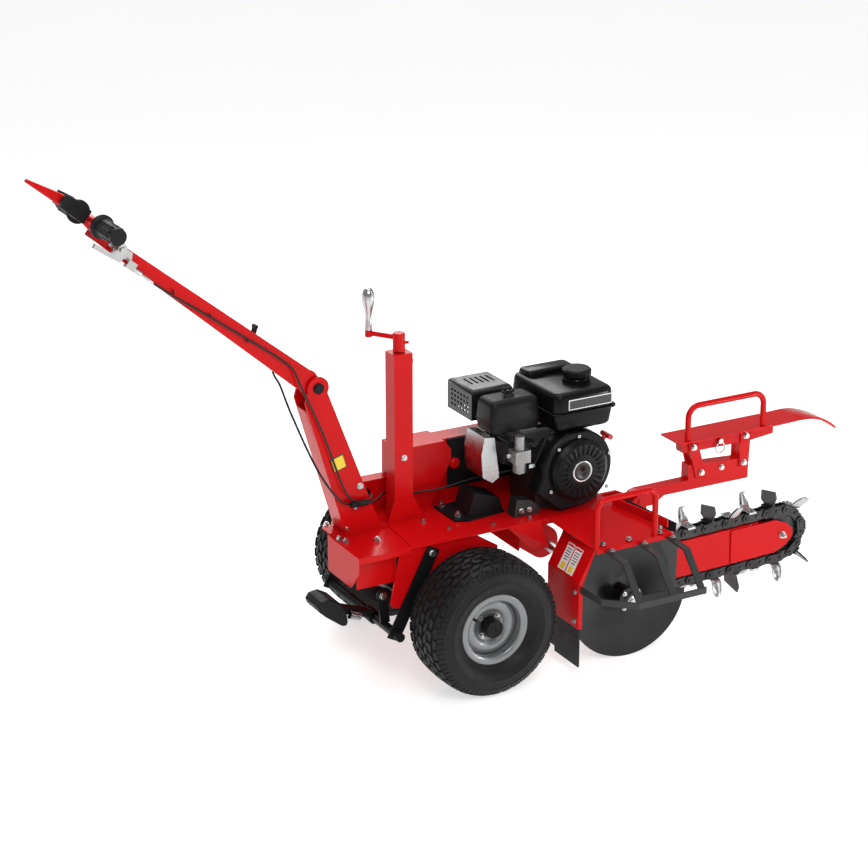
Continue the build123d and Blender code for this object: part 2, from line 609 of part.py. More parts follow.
def auger_bolts():
    heads = []
    for k in range(4):
        angle = radians(45 + 90 * k)
        at = (HEAD[0] + 36 * cos(angle), -390, HEAD[1] + 36 * sin(angle))
        heads.append(bolt(at, (0, -1, 0), 11))
    heads.append(bolt((HEAD[0], -396, HEAD[1]), (0, -1, 0), 22))
    return together(heads)


def head_shaft():
    """Head shaft from the auger, through the head sprocket, to the final-drive case."""
    shaft = rod((HEAD[0], -372, HEAD[1]), (HEAD[0], 192, HEAD[1]), 17.5)
    gear = rod((HEAD[0], 170, HEAD[1]), (HEAD[0], 186, HEAD[1]), 46)
    return shaft + gear + head_sprocket()


def sprocket(x, z, radius, width, bore, y):
    """Toothed wheel whose tips stay just inside the chain's rollers."""
    disc = rod((x, y - width / 2, z), (x, y + width / 2, z), radius)
    for k in range(TEETH):
        angle = 2 * pi * k / TEETH
        cx, cz = x + (radius + 3) * cos(angle), z + (radius + 3) * sin(angle)
        disc -= rod((cx, y - width, cz), (cx, y + width, cz), 10.5)
    return disc - rod((x, y - width, z), (x, y + width, z), bore)


def head_sprocket():
    return sprocket(HEAD[0], HEAD[1], 75.5, 14, 17.5, BOOM_Y)


def boom_length():
    return PITCH * (LINKS - TEETH) / 2


def tail_sprocket():
    x, y, z = boom_point(boom_length(), 0, 0)
    return sprocket(x, z, 75.5, 14, 12 + FIT, BOOM_Y)


def boom_bar():
    """Box-section boom bar."""
    body = boom_plate([(104, -BOOM_HALF), (640, -BOOM_HALF), (640, BOOM_HALF), (104, BOOM_HALF)], (-20, 20))
    return body - boom_plate([(98, -58), (646, -58), (646, 58), (98, 58)], (-15, 15))


def boom_nose():
    """Two sliding cheeks that carry the tail sprocket, with the idler pin."""
    c = boom_length()
    outline = [(521, -60), (c - 30, -60), (c + 18, -40), (c + 44, -14), (c + 44, 14), (c + 18, 40), (c - 30, 60),
               (521, 60)]
    body = boom_plate(outline, (-26, -20)) + boom_plate(outline, (20, 26))
    pin = rod(boom_point(c, -26, 0), boom_point(c, 26, 0), 12)
    return body + pin


# ---------------------------------------------------------------- digging chain
def chain_pin_places():
    """Places of the pins round the boom, as (s, o, angle of travel)."""
    c = boom_length()
    arc = PITCH * TEETH / 2
    radius = PITCH / (2 * sin(pi / TEETH))
    places = []
    for k in range(LINKS):
        d = k * PITCH
        if d < c:
            places.append((d, radius))
        elif d < c + arc:
            turn = pi * (d - c) / arc
            places.append((c + radius * sin(turn), radius * cos(turn)))
        elif d < 2 * c + arc:
            places.append((2 * c + arc - d, -radius))
        else:
            turn = pi * (d - 2 * c - arc) / arc
            places.append((-radius * sin(turn), -radius * cos(turn)))
    return places


def link_frames():
    """One plane for each link: x along the link, y outward, z across the boom."""
    places = chain_pin_places()
    frames = []
    for k in range(LINKS):
        a = Vector(*boom_point(places[k][0], 0, places[k][1]))
        b = Vector(*boom_point(places[(k + 1) % LINKS][0], 0, places[(k + 1) % LINKS][1]))
        frames.append(Plane((a + b) * 0.5, x_dir=b - a, z_dir=(0, 1, 0)))
    return frames


def chain_links():
    """Side links: inner and outer pairs in turn, pierced for the pins."""
    half = PITCH / 2
    shape = extrude(SlotCenterToCenter(PITCH, 31), 4.6)
    for x in (-half, half):
        shape -= Pos(x, 0, 0) * Cylinder(6.5, 20)
    plates = []
    for k, frame in enumerate(link_frames()):
        gaps = (11.2, -15.8) if k % 2 else (16.2, -20.8)
        for z in gaps:
            plates.append(frame.offset(z).location * shape)
    return together(plates)


def chain_pins():
    """Pins with their rollers."""
    shapes = []
    pin = Pos(0, 0, -24) * Solid.make_cylinder(6, 48)
    roller = Pos(0, 0, -10.8) * Solid.make_cylinder(11, 21.6)
    unit = pin + roller
    for s, o in chain_pin_places():
        at = Plane(boom_point(s, 0, o), x_dir=(1, 0, 0), z_dir=(0, 1, 0))
        shapes.append(at.location * unit)
    return together(shapes)


def cutter(side):
    """Bent cutter: base on the link, blade leaning out to one side, with a chisel tip."""
    outline = [(-side * 24, 15.5), (side * 28, 15.5), (side * 60, 60), (side * 54, 66), (side * 24, 23),
               (-side * 24, 23)]
    body = extrude(Plane.YZ * make_face(Polyline(*[(y, z) for y, z in outline], close=True)), 15, both=True)
    return body


def attachment_planes():
    """Planes for every second link: x along the chain, y across the boom, z outward."""
    planes = []
    for k, frame in enumerate(link_frames()):
        if k % ATTACH_EVERY == 0:
            planes.append(Plane(frame.origin, x_dir=frame.x_dir, z_dir=frame.x_dir.cross(Vector(0, 1, 0)) * -1))
    return planes


def outward(plane):
    """Flips a link's plane so that its z points away from the middle of the boom."""
    middle = Vector(*boom_point(boom_length() / 2, 0, 0))
    along = Vector(*boom_point(1, 0, 0)) - Vector(*boom_point(0, 0, 0))
    offset = plane.origin - middle
    reach = offset.dot(along)
    limit = boom_length() / 2
    core = middle + along * max(-limit, min(limit, reach))
    away = plane.origin - core
    if away.dot(plane.z_dir) < 0:
        return Plane(plane.origin, x_dir=plane.x_dir, z_dir=plane.z_dir * -1)
    return plane


def chain_cutters():
    """Sixteen cutters, leaning to the two sides in turn."""
    left, right = cutter(1), cutter(-1)
    shapes = []
    count = 0
    for k, plane in enumerate(attachment_planes()):
        if k % 3 == 2:
            continue
        shapes.append(outward(plane).location * (left if count % 2 else right))
        count += 1
    return together(shapes)


def chain_paddles():
    """Eight upright dirt paddles."""
    outline = [(-24, 21), (24, 21), (42, 32), (40, 66), (-34, 82), (-42, 60)]
    base = Pos(0, 0, 18.5) * Box(30, 48, 6)
    blade = extrude(Plane.YZ * make_face(Polyline(*outline, close=True)), 3, both=True)
    unit = base + blade
    return together([outward(p).location * unit for k, p in enumerate(attachment_planes()) if k % 3 == 2])


# ---------------------------------------------------------------- crumber
def crumber_bracket():
    """Fork on the boom mount that the crumber arm hinges on."""
    x, z = CRUMBER_PIVOT
    cheeks = None
    for y in ((CRUMBER_Y[0] - 8, CRUMBER_Y[0] - 1), (CRUMBER_Y[1] + 1, CRUMBER_Y[1] + 8)):
        cheek = side_plate([(x - 30, 425), (x + 26, 425), (x + 26, z + 8), (x + 8, z + 24), (x - 8, z + 24),
                            (x - 30, z + 4)], y)
        cheek -= rod((x, -300, z), (x, 0, z), 8)
        cheeks = cheek if cheeks is None else cheeks + cheek
    floor = block((x - 30, x + 26), (CRUMBER_Y[0] - 8, -106), (417, 425))
    pin = rod((x, CRUMBER_Y[0] - 12, z), (x, CRUMBER_Y[1] + 12, z), 8)
    return cheeks + floor + pin


def crumber_arm():
    """Lower bar with its raised box, on the hinge pin."""
    x, z = CRUMBER_PIVOT
    y = (CRUMBER_Y[0], CRUMBER_Y[1])
    bar = side_plate([(x - 22, z - 14), (x - 22, z + 30), (x, z + 36), (1108, 496), (1108, 459), (x + 100, z + 2),
                      (x + 60, z - 24), (x, z - 24)], y)
    bar -= rod((x, -300, z), (x, 0, z), 8 + FIT)
    box = side_plate([(862, 470), (862, 549), (1108, 532), (1108, 460)], y)
    return together([bar + box, crumber_links(), crumber_channel()])


def crumber_links():
    """Two flat links each side between the lower bar and the top channel."""
    links = []
    for y in ((CRUMBER_Y[0] - 6, CRUMBER_Y[0]), (CRUMBER_Y[1], CRUMBER_Y[1] + 6)):
        links.append(side_plate([(856, 625), (896, 620), (930, 503), (890, 500)], y))
        links.append(side_plate([(1068, 628), (1108, 624), (1104, 508), (1066, 508)], y))
    return together(links)


def crumber_channel():
    """Upper channel between the links."""
    outline = [(838, 596), (832, 641), (1205, 641), (1205, 602), (1100, 592)]
    channel = side_plate(outline, (CRUMBER_Y[0], CRUMBER_Y[1]))
    return channel - rod((983, CRUMBER_Y[0] - 1, 616), (983, CRUMBER_Y[1] - 8, 616), 6 + FIT)


def shoe_plate():
    """Top plate with its curved, narrowing tail."""
    z = 641.0
    flat = prism([(800, -240, z), (1215, -240, z), (1215, -125, z), (800, -125, z)], (0, 0, 6))
    top = Plane.XZ.offset(240)
    side = [Line((1215, -240, z), (1290, -240, z + 2)),
            ThreePointArc((1290, -240, z + 2), (1368, -240, z - 12), (1470, -240, 572)),
            Line((1470, -240, 572), (1472, -240, 578)),
            ThreePointArc((1472, -240, 578), (1370, -240, z - 5), (1290, -240, z + 8)),
            Line((1290, -240, z + 8), (1215, -240, z + 6)),
            Line((1215, -240, z + 6), (1215, -240, z))]
    tail = extrude(make_face(side), amount=115, dir=(0, 1, 0))
    trim = flat_plate([(1300, -241), (1500, -241), (1500, -205), (1440, -212)], (500, 700))
    trim += flat_plate([(1330, -124), (1440, -150), (1500, -158), (1500, -124)], (500, 700))
    return flat + (tail - trim)


def crumber_handle():
    """Loop handle standing on the top plate."""
    y = -222
    z = 647.0
    return bent_bar([(842, y, z), (842, y, 764), (1146, y, 764), (1146, y, z)], 10, 40)


def lynch_pin():
    """Locking pin in the channel, with its head and hanging ring."""
    y = CRUMBER_Y[0]
    pin = rod((983, y - 4, 616), (983, y + 30, 616), 6)
    head = rod((983, y - 12, 616), (983, y - 4, 616), 9)
    ring = Pos(983, y - 8, 592) * Rot(90, 0, 0) * Torus(18, 2.5)
    return pin + head + ring


def crumber_bolts():
    """Link bolts and the two middle bolts, on the near side."""
    y = CRUMBER_Y[0] - 6
    heads = [bolt((x, y, z), (0, -1, 0), 15) for x, z in ((876, 612), (911, 517), (1088, 616), (1084, 521))]
    heads.append(bolt((996, CRUMBER_Y[0], 518), (0, -1, 0), 14))
    return together(heads)


# ---------------------------------------------------------------- engine
def engine_base():
    """Black mounting plate with its slanted, slotted cover."""
    plate = flat_plate([(22, -112), (60, -132), (206, -116), (214, -60), (214, 24), (150, 28), (22, 28)], (480, 487))
    cover = prism([(70, -112, 487), (202, -112, 487), (188, -112, 534), (96, -112, 566)], (0, 96, 0))
    slot = prism([(100, -60, 480), (112, -60, 480), (112, -60, 600), (100, -60, 600)], (0, 30, 0))
    return plate + (cover - slot)


def crankcase():
    """Engine block with its foot and PTO side cover."""
    body = side_plate([(300, 480), (540, 480), (540, 500), (522, 512), (522, 640), (480, 700), (330, 700),
                       (300, 660)], (-148, 8))
    cover = turned([(0, 0), (88, 0), (88, 14), (70, 22), (0, 22)], CRANKSHAFT[0], 8, CRANKSHAFT[1])
    bore = rod((CRANKSHAFT[0], -120, CRANKSHAFT[1]), (CRANKSHAFT[0], 60, CRANKSHAFT[1]), 12.5 + FIT)
    return body + cover + foot_bracket() + cylinder() - bore


def cylinder():
    """Inclined finned cylinder and head."""
    u = Vector(-cos(radians(20)), 0, sin(radians(20)))
    v = Vector(sin(radians(20)), 0, cos(radians(20)))
    start = Vector(CRANKSHAFT[0], -122, CRANKSHAFT[1]) + u * 139
    core = prism([start - v * 36, start + v * 36, start + v * 36 + u * 92, start - v * 36 + u * 92], (0, 112, 0))
    for k in range(9):
        a = start + u * (4 + 10 * k)
        core += prism([a - v * 50, a + v * 50, a + v * 50 + u * 3, a - v * 50 + u * 3], (0, 112, 0))
    return core


def blower_housing():
    """Fan housing around the crankshaft, recoil side."""
    x, z = CRANKSHAFT
    drum = rod((x, -208, z), (x, -148, z), 130)
    shell = side_plate([(x, 490), (362, 484), (272, 560), (322, 690), (x, 748)], (-208, -148))
    body = drum + shell
    lip = [e for e in body.edges() if abs(e.center().Y + 208) < 0.1]
    return chamfer(lip, 6) - block((300, 600), (-260, 0), (744.5, 760)) + recoil_cover()


def recoil_cover():
    """Recoil cover with radial air slots."""
    x, z = CRANKSHAFT
    body = turned([(0, 0), (104, 0), (104, -12), (90, -24), (42, -28), (0, -28)], x, -208, z)
    for k in range(24):
        angle = 2 * pi * k / 24
        slot = Rot(0, -360 * k / 24, 0) * block((56, 98), (-3, 3), (-3, 3))
        body -= Pos(x, -234, z) * slot
    return body


def recoil_grip():
    """Starter grip on its short stem."""
    x, z = CRANKSHAFT
    c, s = cos(radians(34)), sin(radians(34))
    a = (x + 134 * c, -178, z + 134 * s)
    b = (x + 152 * c, -178, z + 152 * s)
    bar = rod((b[0], -204, b[2]), (b[0], -152, b[2]), 9)
    return rod(a, b, 8) + bar


def fuel_tank():
    """Two-part fuel tank with a seam flange, a raised rear and a filler neck."""
    plan = [(368, -197), (548, -197), (572, -172), (572, 70), (548, 95), (368, 95), (344, 70), (344, -172)]
    lower = prism([(x, y, 745) for x, y in plan], (0, 0, 63))
    flange = prism([(458 + (x - 458) * 1.06, -51 + (y + 51) * 1.06, 808) for x, y in plan], (0, 0, 6))
    upper = prism([(x, y, 814) for x, y in plan], (0, 0, 62))
    edges = [e for e in upper.edges() if abs(e.center().Z - 876) < 0.1]
    upper = chamfer(edges, 14)
    rear = block((372, 544), (20, 82), (876, 892))
    neck = rod((505, -62, 876), (505, -62, 884), 40)
    return lower + flange + upper + rear + neck


def fuel_cap():
    """Ribbed filler cap."""
    x, y, z = 505, -62, 884.4
    cap = turned_up([(0, 0), (46, 0), (48, 4), (48, 20), (42, 25), (0, 25)], x, y, z)
    for k in range(20):
        angle = 2 * pi * k / 20
        cx, cy = x + 49 * cos(angle), y + 49 * sin(angle)
        cap -= rod((cx, cy, z + 2), (cx, cy, z + 22), 3)
    return cap


def air_cleaner():
    """Air-cleaner box with a rounded lid and its wing nut."""
    x, y = (150, 334), (-126, -12)
    base = block(x, y, (754, 786))
    lid = block((x[0] - 3, x[1] + 2), (y[0] - 3, y[1] + 2), (787, 862))
    edges = lid.edges().group_by(Axis.Z)[-1] + lid.edges().filter_by(Axis.Z)
    lid = fillet(edges, 16)
    seam = block((x[0] + 4, x[1] - 4), (y[0] + 4, y[1] - 4), (786, 787))
    knob = turned_up([(0, 0), (17, 0), (17, 4), (9, 7), (9, 14), (0, 14)], 242, -69, 862)
    wing = block((224, 260), (-72, -66), (866, 880))
    return base + seam + lid + knob + wing


def muffler_can():
    """Muffler can with its pipe toward the head."""
    can = block((170, 280), (22, 140), (786, 846))
    can = fillet(can.edges().filter_by(Axis.Y), 24)
    pipe = rod((205, 40, 745), (205, 40, 790), 14)
    return can + pipe


def muffler():
    """Muffler can inside its perforated guard."""
    shell = block((148, 300), (2, 160), (766, 868))
    top = shell.edges().group_by(Axis.Z)[-1]
    shell = fillet(top, 14)
    shell -= block((152, 296), (6, 156), (760, 864))
    for row in range(4):
        for k in range(6):
            z = 785 + row * 16
            shell -= block((140, 156), (24 + k * 20, 36 + k * 20), (z, z + 7))
    for k in range(5):
        shell -= block((182 + k * 20, 190 + k * 20), (60, 120), (860, 875))
    return together([shell, muffler_can()])


def heat_shield():
    """Bright folded shield beside the cylinder head."""
    outer = [(120, 690), (126, 612), (162, 588), (186, 604), (182, 640), (168, 742), (132, 748)]
    inner = [(124, 690), (130, 615), (163, 593), (190, 611), (190, 640), (166, 738), (136, 744)]
    shell = side_plate(outer, (-112, 0))
    shell -= side_plate(inner, (-108, 1))
    return together([shell, engine_controls()])


def carburettor():
    """Carburettor body and float bowl under the air cleaner."""
    body = block((206, 262), (-182, -134), (664, 706))
    bowl = rod((234, -158, 630), (234, -158, 664), 22)
    horn = rod((234, -158, 706), (234, -158, 753), 17)
    nut = rod((234, -158, 622), (234, -158, 630), 7)
    arm = block((226, 242), (-134, -124), (676, 694))
    return body + bowl + horn + nut + arm


def engine_controls():
    """Bright governor linkage, choke and fuel levers on the recoil side."""
    link = side_plate([(296, 704), (300, 696), (378, 712), (386, 722), (380, 730), (304, 716)], (-146, -141))
    spring = rod((300, -140, 700), (300, -124, 700), 4)
    bracket = block((302, 360), (-140, -128), (700.5, 712))
    choke = rod((190, -158, 690), (205.5, -158, 690), 7)
    fuel = side_plate([(262.5, 640), (286, 640), (286, 652), (262.5, 652)], (-172, -164))
    return together([link + bracket + spring, choke, fuel])


def foot_bracket():
    """Cast foot in front of the block, with its nuts."""
    wedge = prism([(206, -176, 480), (298, -176, 480), (298, -176, 500), (270, -176, 530), (216, -176, 540)],
                  (0, 44, 0))
    return wedge


def crankshaft():
    """Crankshaft stub with the drive pulley."""
    x, z = CRANKSHAFT
    shaft = rod((x, -110, z), (x, 140, z), 12.5)
    y0, y1 = PULLEY_Y
    pulley = turned([(12, 0), (48, 0), (40, 8), (40, 28), (48, 36), (12, 36)], x, y0, z)
    return shaft + pulley


def countershaft():
    """Countershaft with the driven pulley and the final-drive pinion."""
    x, z = COUNTER
    shaft = rod((x, 92, z), (x, 193, z), 12)
    pulley = turned([(11, 0), (94, 0), (86, 8), (86, 28), (94, 36), (11, 36)], x, PULLEY_Y[0], z)
    pinion = rod((x, 170, z), (x, 186, z), 26)
    return shaft + pulley + pinion


def drive_belt():
    """Twin drive belt between the two pulleys."""
    (x0, z0), (x1, z1) = CRANKSHAFT, COUNTER
    r0, r1 = 40.4, 86.4
    gap = ((x0 - x1) ** 2 + (z0 - z1) ** 2) ** 0.5
    lean = (r1 - r0) / gap
    rise = (1 - lean * lean) ** 0.5
    ux, uz = (x1 - x0) / gap, (z1 - z0) / gap
    belt = None
    for grow, sign in ((9, 1), (0, -1)):
        loop = rod((x0, 108, z0), (x0, 124, z0), r0 + grow) + rod((x1, 108, z1), (x1, 124, z1), r1 + grow)
        quad = []
        for (cx, cz, r), side in (((x0, z0, r0), 1), ((x1, z1, r1), 1), ((x1, z1, r1), -1), ((x0, z0, r0), -1)):
            nx, nz = -lean * ux - side * rise * uz, -lean * uz + side * rise * ux
            quad.append((cx + nx * (r + grow), cz + nz * (r + grow)))
        loop += side_plate(quad, (108, 124))
        belt = loop if belt is None else belt - loop
    return belt


# ---------------------------------------------------------------- fasteners and decals
def chassis_bolts():
    """Visible bolts of the deck, post, handle, guards and boom."""
    heads = []
    up, near, left = (0, 0, 1), (0, -1, 0), (-1, 0, 0)
    for x, y in ((-352, 58), (-357, -87), (-267, -128), (-366, -60)):
        heads.append(bolt((x, y, DECK_Z), up, 16, 5))
    for x, y in ((42, 12), (48, -86)):
        heads.append(bolt((x, y, 487), up, 19, 8))
    for x, y in ((-20, -150), (120, -190), (250, -200)):
        heads.append(bolt((x, y, DECK_Z), up, 10))
    heads.append(bolt((-117, POST_Y[0], 700), near, 14))
    heads.append(bolt((-70, -70, DECK_Z + 4), up, 14, 4))
    heads.append(bolt((-281, -42, 640), near, 15))
    heads.append(bolt((-330, -44.0, 505), near, 9))
    for x, z in ((285.5, 300), (285.5, 200)):
        heads.append(bolt((286, -425, z), left, 13))
    for x, y in ((382, -430), (478, -434), (598, -434), (612, -410)):
        z = 440 + (y + 447) * 40 / 217
        heads.append(bolt((x, y, z + 3), up, 14))
    heads.append(bolt(boom_point(boom_length(), -26, 0), near, 18, 10))
    heads.append(bolt((BRAKE_PIVOT[0], -232, BRAKE_PIVOT[1]), near, 17))
    for x, y in ((232, -154), (262, -154)):
        heads.append(bolt((x, -176, 500), near, 13))
    return together(heads)


NODES = {
    "tyre_near": lambda: tyre(-1),
    "tyre_far": lambda: tyre(1),
    "rim_near": lambda: rim(-1) + hub(-1),
    "rim_far": lambda: rim(1) + hub(1),
    "axle": axle,
    "deck": deck,
    "crank_post": crank_post,
    "belt_guard": belt_guard,
    "boom_mount": boom_mount,
    "jack_screw": jack_screw,
    "crank_knob": crank_knob,
    "jack_leg": jack_leg,
    "lower_handle": lower_handle,
    "fold_pin": fold_pin,
    "upper_handle": upper_handle,
    "handle_grips": lambda: together([handle_grips(), lever_bracket()]),
    "presence_lever": presence_lever,
    "clutch_mount": clutch_mount,
    "clutch_lever": clutch_lever,
    "throttle_mount": throttle_mount,
    "throttle_lever": throttle_lever,
    "clutch_cable_upper": lambda: cord(CLUTCH_UPPER, 3.5),
    "clutch_cable_lower": lambda: cord(CLUTCH_LOWER, 3.5),
    "throttle_cable_upper": lambda: cord(THROTTLE_UPPER, 3.5),
    "throttle_cable_lower": lambda: cord(THROTTLE_LOWER, 3.5),
    "brake_frame": brake_frame,
    "brake_pedal": brake_pedal,
    "pedal_pad": pedal_pad,
    "mud_guard": mud_guard,
    "rubber_trim": rubber_trim,
    "auger_hood": auger_hood,
    "hood_handle": hood_handle,
    "guard_cage": guard_cage,
    "auger": auger,
    "head_shaft": head_shaft,
    "tail_sprocket": tail_sprocket,
    "boom_bar": boom_bar,
    "boom_nose": boom_nose,
    "chain_links": lambda: together([chain_links(), chain_paddles()]),
    "chain_pins": chain_pins,
    "chain_cutters": chain_cutters,
    "crumber_arm": crumber_arm,
    "shoe_plate": shoe_plate,
    "crumber_handle": crumber_handle,
    "lynch_pin": lynch_pin,
    "crumber_bolts": crumber_bolts,
    "engine_base": engine_base,
    "crankcase": crankcase,
    "blower_housing": blower_housing,
    "recoil_grip": recoil_grip,
    "fuel_tank": fuel_tank,
    "fuel_cap": fuel_cap,
    "air_cleaner": air_cleaner,
    "muffler": muffler,
    "heat_shield": heat_shield,
    "carburettor": carburettor,
    "crankshaft": crankshaft,
    "countershaft": countershaft,
    "drive_belt": drive_belt,
    "chassis_bolts": chassis_bolts,
}


def main():
    os.makedirs("parts", exist_ok=True)
    for name, make in NODES.items():
        solids = [Pos(SHIFT[0], SHIFT[1], 0) * solid for solid in make().solids()]
        export_step(Compound(solids), f"parts/{name}.step")


main()
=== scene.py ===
import bpy
import bmesh
from math import cos, sin, pi, radians
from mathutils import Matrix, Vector


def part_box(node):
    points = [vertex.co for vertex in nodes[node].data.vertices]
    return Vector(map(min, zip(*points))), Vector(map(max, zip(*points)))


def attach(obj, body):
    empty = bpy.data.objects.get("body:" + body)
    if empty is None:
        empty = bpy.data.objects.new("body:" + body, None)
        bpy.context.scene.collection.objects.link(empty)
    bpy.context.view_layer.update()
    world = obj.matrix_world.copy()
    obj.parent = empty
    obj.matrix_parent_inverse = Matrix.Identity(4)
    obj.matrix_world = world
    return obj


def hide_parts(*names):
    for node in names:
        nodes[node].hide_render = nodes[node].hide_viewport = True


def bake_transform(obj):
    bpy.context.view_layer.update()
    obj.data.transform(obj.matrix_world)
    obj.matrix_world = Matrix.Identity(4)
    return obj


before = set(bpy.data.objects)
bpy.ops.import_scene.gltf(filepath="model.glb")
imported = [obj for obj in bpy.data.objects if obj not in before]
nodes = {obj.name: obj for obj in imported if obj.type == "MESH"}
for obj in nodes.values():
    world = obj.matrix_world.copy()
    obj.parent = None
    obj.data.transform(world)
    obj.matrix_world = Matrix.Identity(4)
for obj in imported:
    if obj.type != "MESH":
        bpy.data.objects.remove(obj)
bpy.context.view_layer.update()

scene = bpy.context.scene

# The CAD source measures places from the ground under the axle, in millimetres. ORIGIN is that
# point in the model's frame, in metres, read from the boxes of the two tyres.
NEAR_TYRE, FAR_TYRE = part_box("tyre_near"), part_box("tyre_far")
ORIGIN = Vector(((NEAR_TYRE[0].x + NEAR_TYRE[1].x) / 2, (NEAR_TYRE[0].y + FAR_TYRE[1].y) / 2, 0))

# Places that several pieces share, in the same millimetres.
WHEEL_Y, AXLE_HEIGHT = 338, 228.6      # the middle of a tyre, and the axle's height
SHAFT_X, SHAFT_Z = 524, 208            # the head shaft, which drives the auger and the chain
BOOM_Y = -190                          # the middle plane of the boom
FOLD_X, FOLD_Z = -420, 988             # the fold axis of the handle
ARM = radians(39)                      # the upper handle's rise at rest
CABLE_RADIUS = 0.0035                  # metres

# How closely curves and edges are made.
EDGE_STEPS = 2
CAD_CREASE, MESH_CREASE = radians(32), radians(35)
WELD_DISTANCE, MERGE_DISTANCE = 0.00002, 1e-6
CURVE_ORDER, CURVE_SIDES, CURVE_STEPS = 3, 6, 12
MOULD_STEPS = 6
HEX_STEPS = 36


def at(x, y, z):
    """A place given in millimetres from the ground under the axle."""
    return Vector((ORIGIN.x + x / 1000, ORIGIN.y + y / 1000, z / 1000))


# ---------------------------------------------------------------- materials
COAT_ROUGHNESS = 0.06
CLOUD_RANGE = (0.3, 0.7)               # the part of a noise that colour and roughness follow
SPECK_RANGE = (0.52, 0.78)             # the part of a finer noise that dust follows


def material(name, colour, rough, metal=0.0, coat=0.0, vary=0.08, scale=9.0, grain=900.0, bump=0.00004,
             rough_vary=0.08, gloss=0.5, streak=(1, 1, 1), dust=0.0, dust_colour=(0.35, 0.33, 0.30)):
    """A finish with cloudy colour, uneven roughness and a fine grain.

    vary and rough_vary are how far colour and roughness wander, scale and grain set the size of
    the clouds and of the fine relief, and bump is the depth of that relief in metres.
    """
    mat = bpy.data.materials.new(name)
    mat.use_nodes = True
    tree = mat.node_tree
    shader = tree.nodes["Principled BSDF"]
    shader.inputs["Metallic"].default_value = metal
    shader.inputs["Coat Weight"].default_value = coat
    shader.inputs["Specular IOR Level"].default_value = gloss
    shader.inputs["Coat Roughness"].default_value = COAT_ROUGHNESS
    place = tree.nodes.new("ShaderNodeTexCoord")
    stretch = tree.nodes.new("ShaderNodeMapping")
    stretch.inputs["Scale"].default_value = streak
    tree.links.new(place.outputs["Object"], stretch.inputs["Vector"])

    def noise_node(size, detail):
        n = tree.nodes.new("ShaderNodeTexNoise")
        n.inputs["Scale"].default_value = size
        n.inputs["Detail"].default_value = detail
        tree.links.new(stretch.outputs["Vector"], n.inputs["Vector"])
        return n

    cloud = noise_node(scale, 5.0)
    ramp = tree.nodes.new("ShaderNodeValToRGB")
    ramp.color_ramp.elements[0].position = CLOUD_RANGE[0]
    ramp.color_ramp.elements[1].position = CLOUD_RANGE[1]
    ramp.color_ramp.elements[0].color = tuple(c * (1 - vary) for c in colour) + (1,)
    ramp.color_ramp.elements[1].color = tuple(min(1, c * (1 + vary)) for c in colour) + (1,)
    tree.links.new(cloud.outputs["Fac"], ramp.inputs["Fac"])
    last = ramp.outputs["Color"]
    if dust > 0:
        speck = noise_node(scale * 7, 8.0)
        mask = tree.nodes.new("ShaderNodeMapRange")
        mask.inputs["From Min"].default_value = SPECK_RANGE[0]
        mask.inputs["From Max"].default_value = SPECK_RANGE[1]
        mask.inputs["To Max"].default_value = dust
        tree.links.new(speck.outputs["Fac"], mask.inputs["Value"])
        mix = tree.nodes.new("ShaderNodeMix")
        mix.data_type = "RGBA"
        under = next(s for s in mix.inputs if s.name == "A" and s.type == "RGBA")
        over = next(s for s in mix.inputs if s.name == "B" and s.type == "RGBA")
        over.default_value = tuple(dust_colour) + (1,)
        tree.links.new(mask.outputs["Result"], mix.inputs["Factor"])
        tree.links.new(last, under)
        last = next(s for s in mix.outputs if s.type == "RGBA")
    tree.links.new(last, shader.inputs["Base Color"])
    smudge = noise_node(scale * 3.3, 6.0)
    spread = tree.nodes.new("ShaderNodeMapRange")
    spread.inputs["From Min"].default_value = CLOUD_RANGE[0]
    spread.inputs["From Max"].default_value = CLOUD_RANGE[1]
    spread.inputs["To Min"].default_value = max(0.02, rough - rough_vary)
    spread.inputs["To Max"].default_value = min(1.0, rough + rough_vary)
    tree.links.new(smudge.outputs["Fac"], spread.inputs["Value"])
    tree.links.new(spread.outputs["Result"], shader.inputs["Roughness"])
    fine = noise_node(grain, 3.0)
    relief = tree.nodes.new("ShaderNodeBump")
    relief.inputs["Distance"].default_value = bump
    relief.inputs["Strength"].default_value = 1.0
    tree.links.new(fine.outputs["Fac"], relief.inputs["Height"])
    tree.links.new(relief.outputs["Normal"], shader.inputs["Normal"])
    return mat


RED = material("red_gloss", (0.56, 0.0035, 0.005), 0.22, coat=0.05, gloss=0.12, vary=0.05, scale=3,
               grain=260, bump=0.00003, rough_vary=0.04)
BLACK_COAT = material("black_coat", (0.006, 0.006, 0.006), 0.34, gloss=0.14, vary=0.25, grain=500,
                      bump=0.00002)
DISC = material("worn_disc", (0.030, 0.030, 0.031), 0.34, metal=0.9, vary=0.2, scale=6, grain=320,
                bump=0.00002, rough_vary=0.05)
CAGE = material("cage_paint", (0.030, 0.031, 0.032), 0.45, gloss=0.3, vary=0.15, grain=700)
DARK = material("charcoal_paint", (0.007, 0.007, 0.008), 0.42, gloss=0.14, vary=0.15, grain=700)
RIM = material("grey_rim", (0.20, 0.205, 0.21), 0.34, metal=0.55, coat=0.3, vary=0.07, grain=600)
ZINC = material("zinc_plate", (0.50, 0.50, 0.49), 0.26, metal=1.0, vary=0.10, scale=30, grain=1200,
                rough_vary=0.08)
FOLDED = material("bright_plate", (0.50, 0.52, 0.52), 0.26, metal=1.0, vary=0.10, scale=9, grain=60,
                  bump=0.00001, rough_vary=0.05)
RED_PL = material("red_plastic", (0.50, 0.010, 0.012), 0.34, vary=0.06, scale=20, grain=1300)
STEEL = material("turned_steel", (0.46, 0.46, 0.47), 0.32, metal=1.0, vary=0.12, scale=22, grain=900,
                 streak=(1, 6, 1))
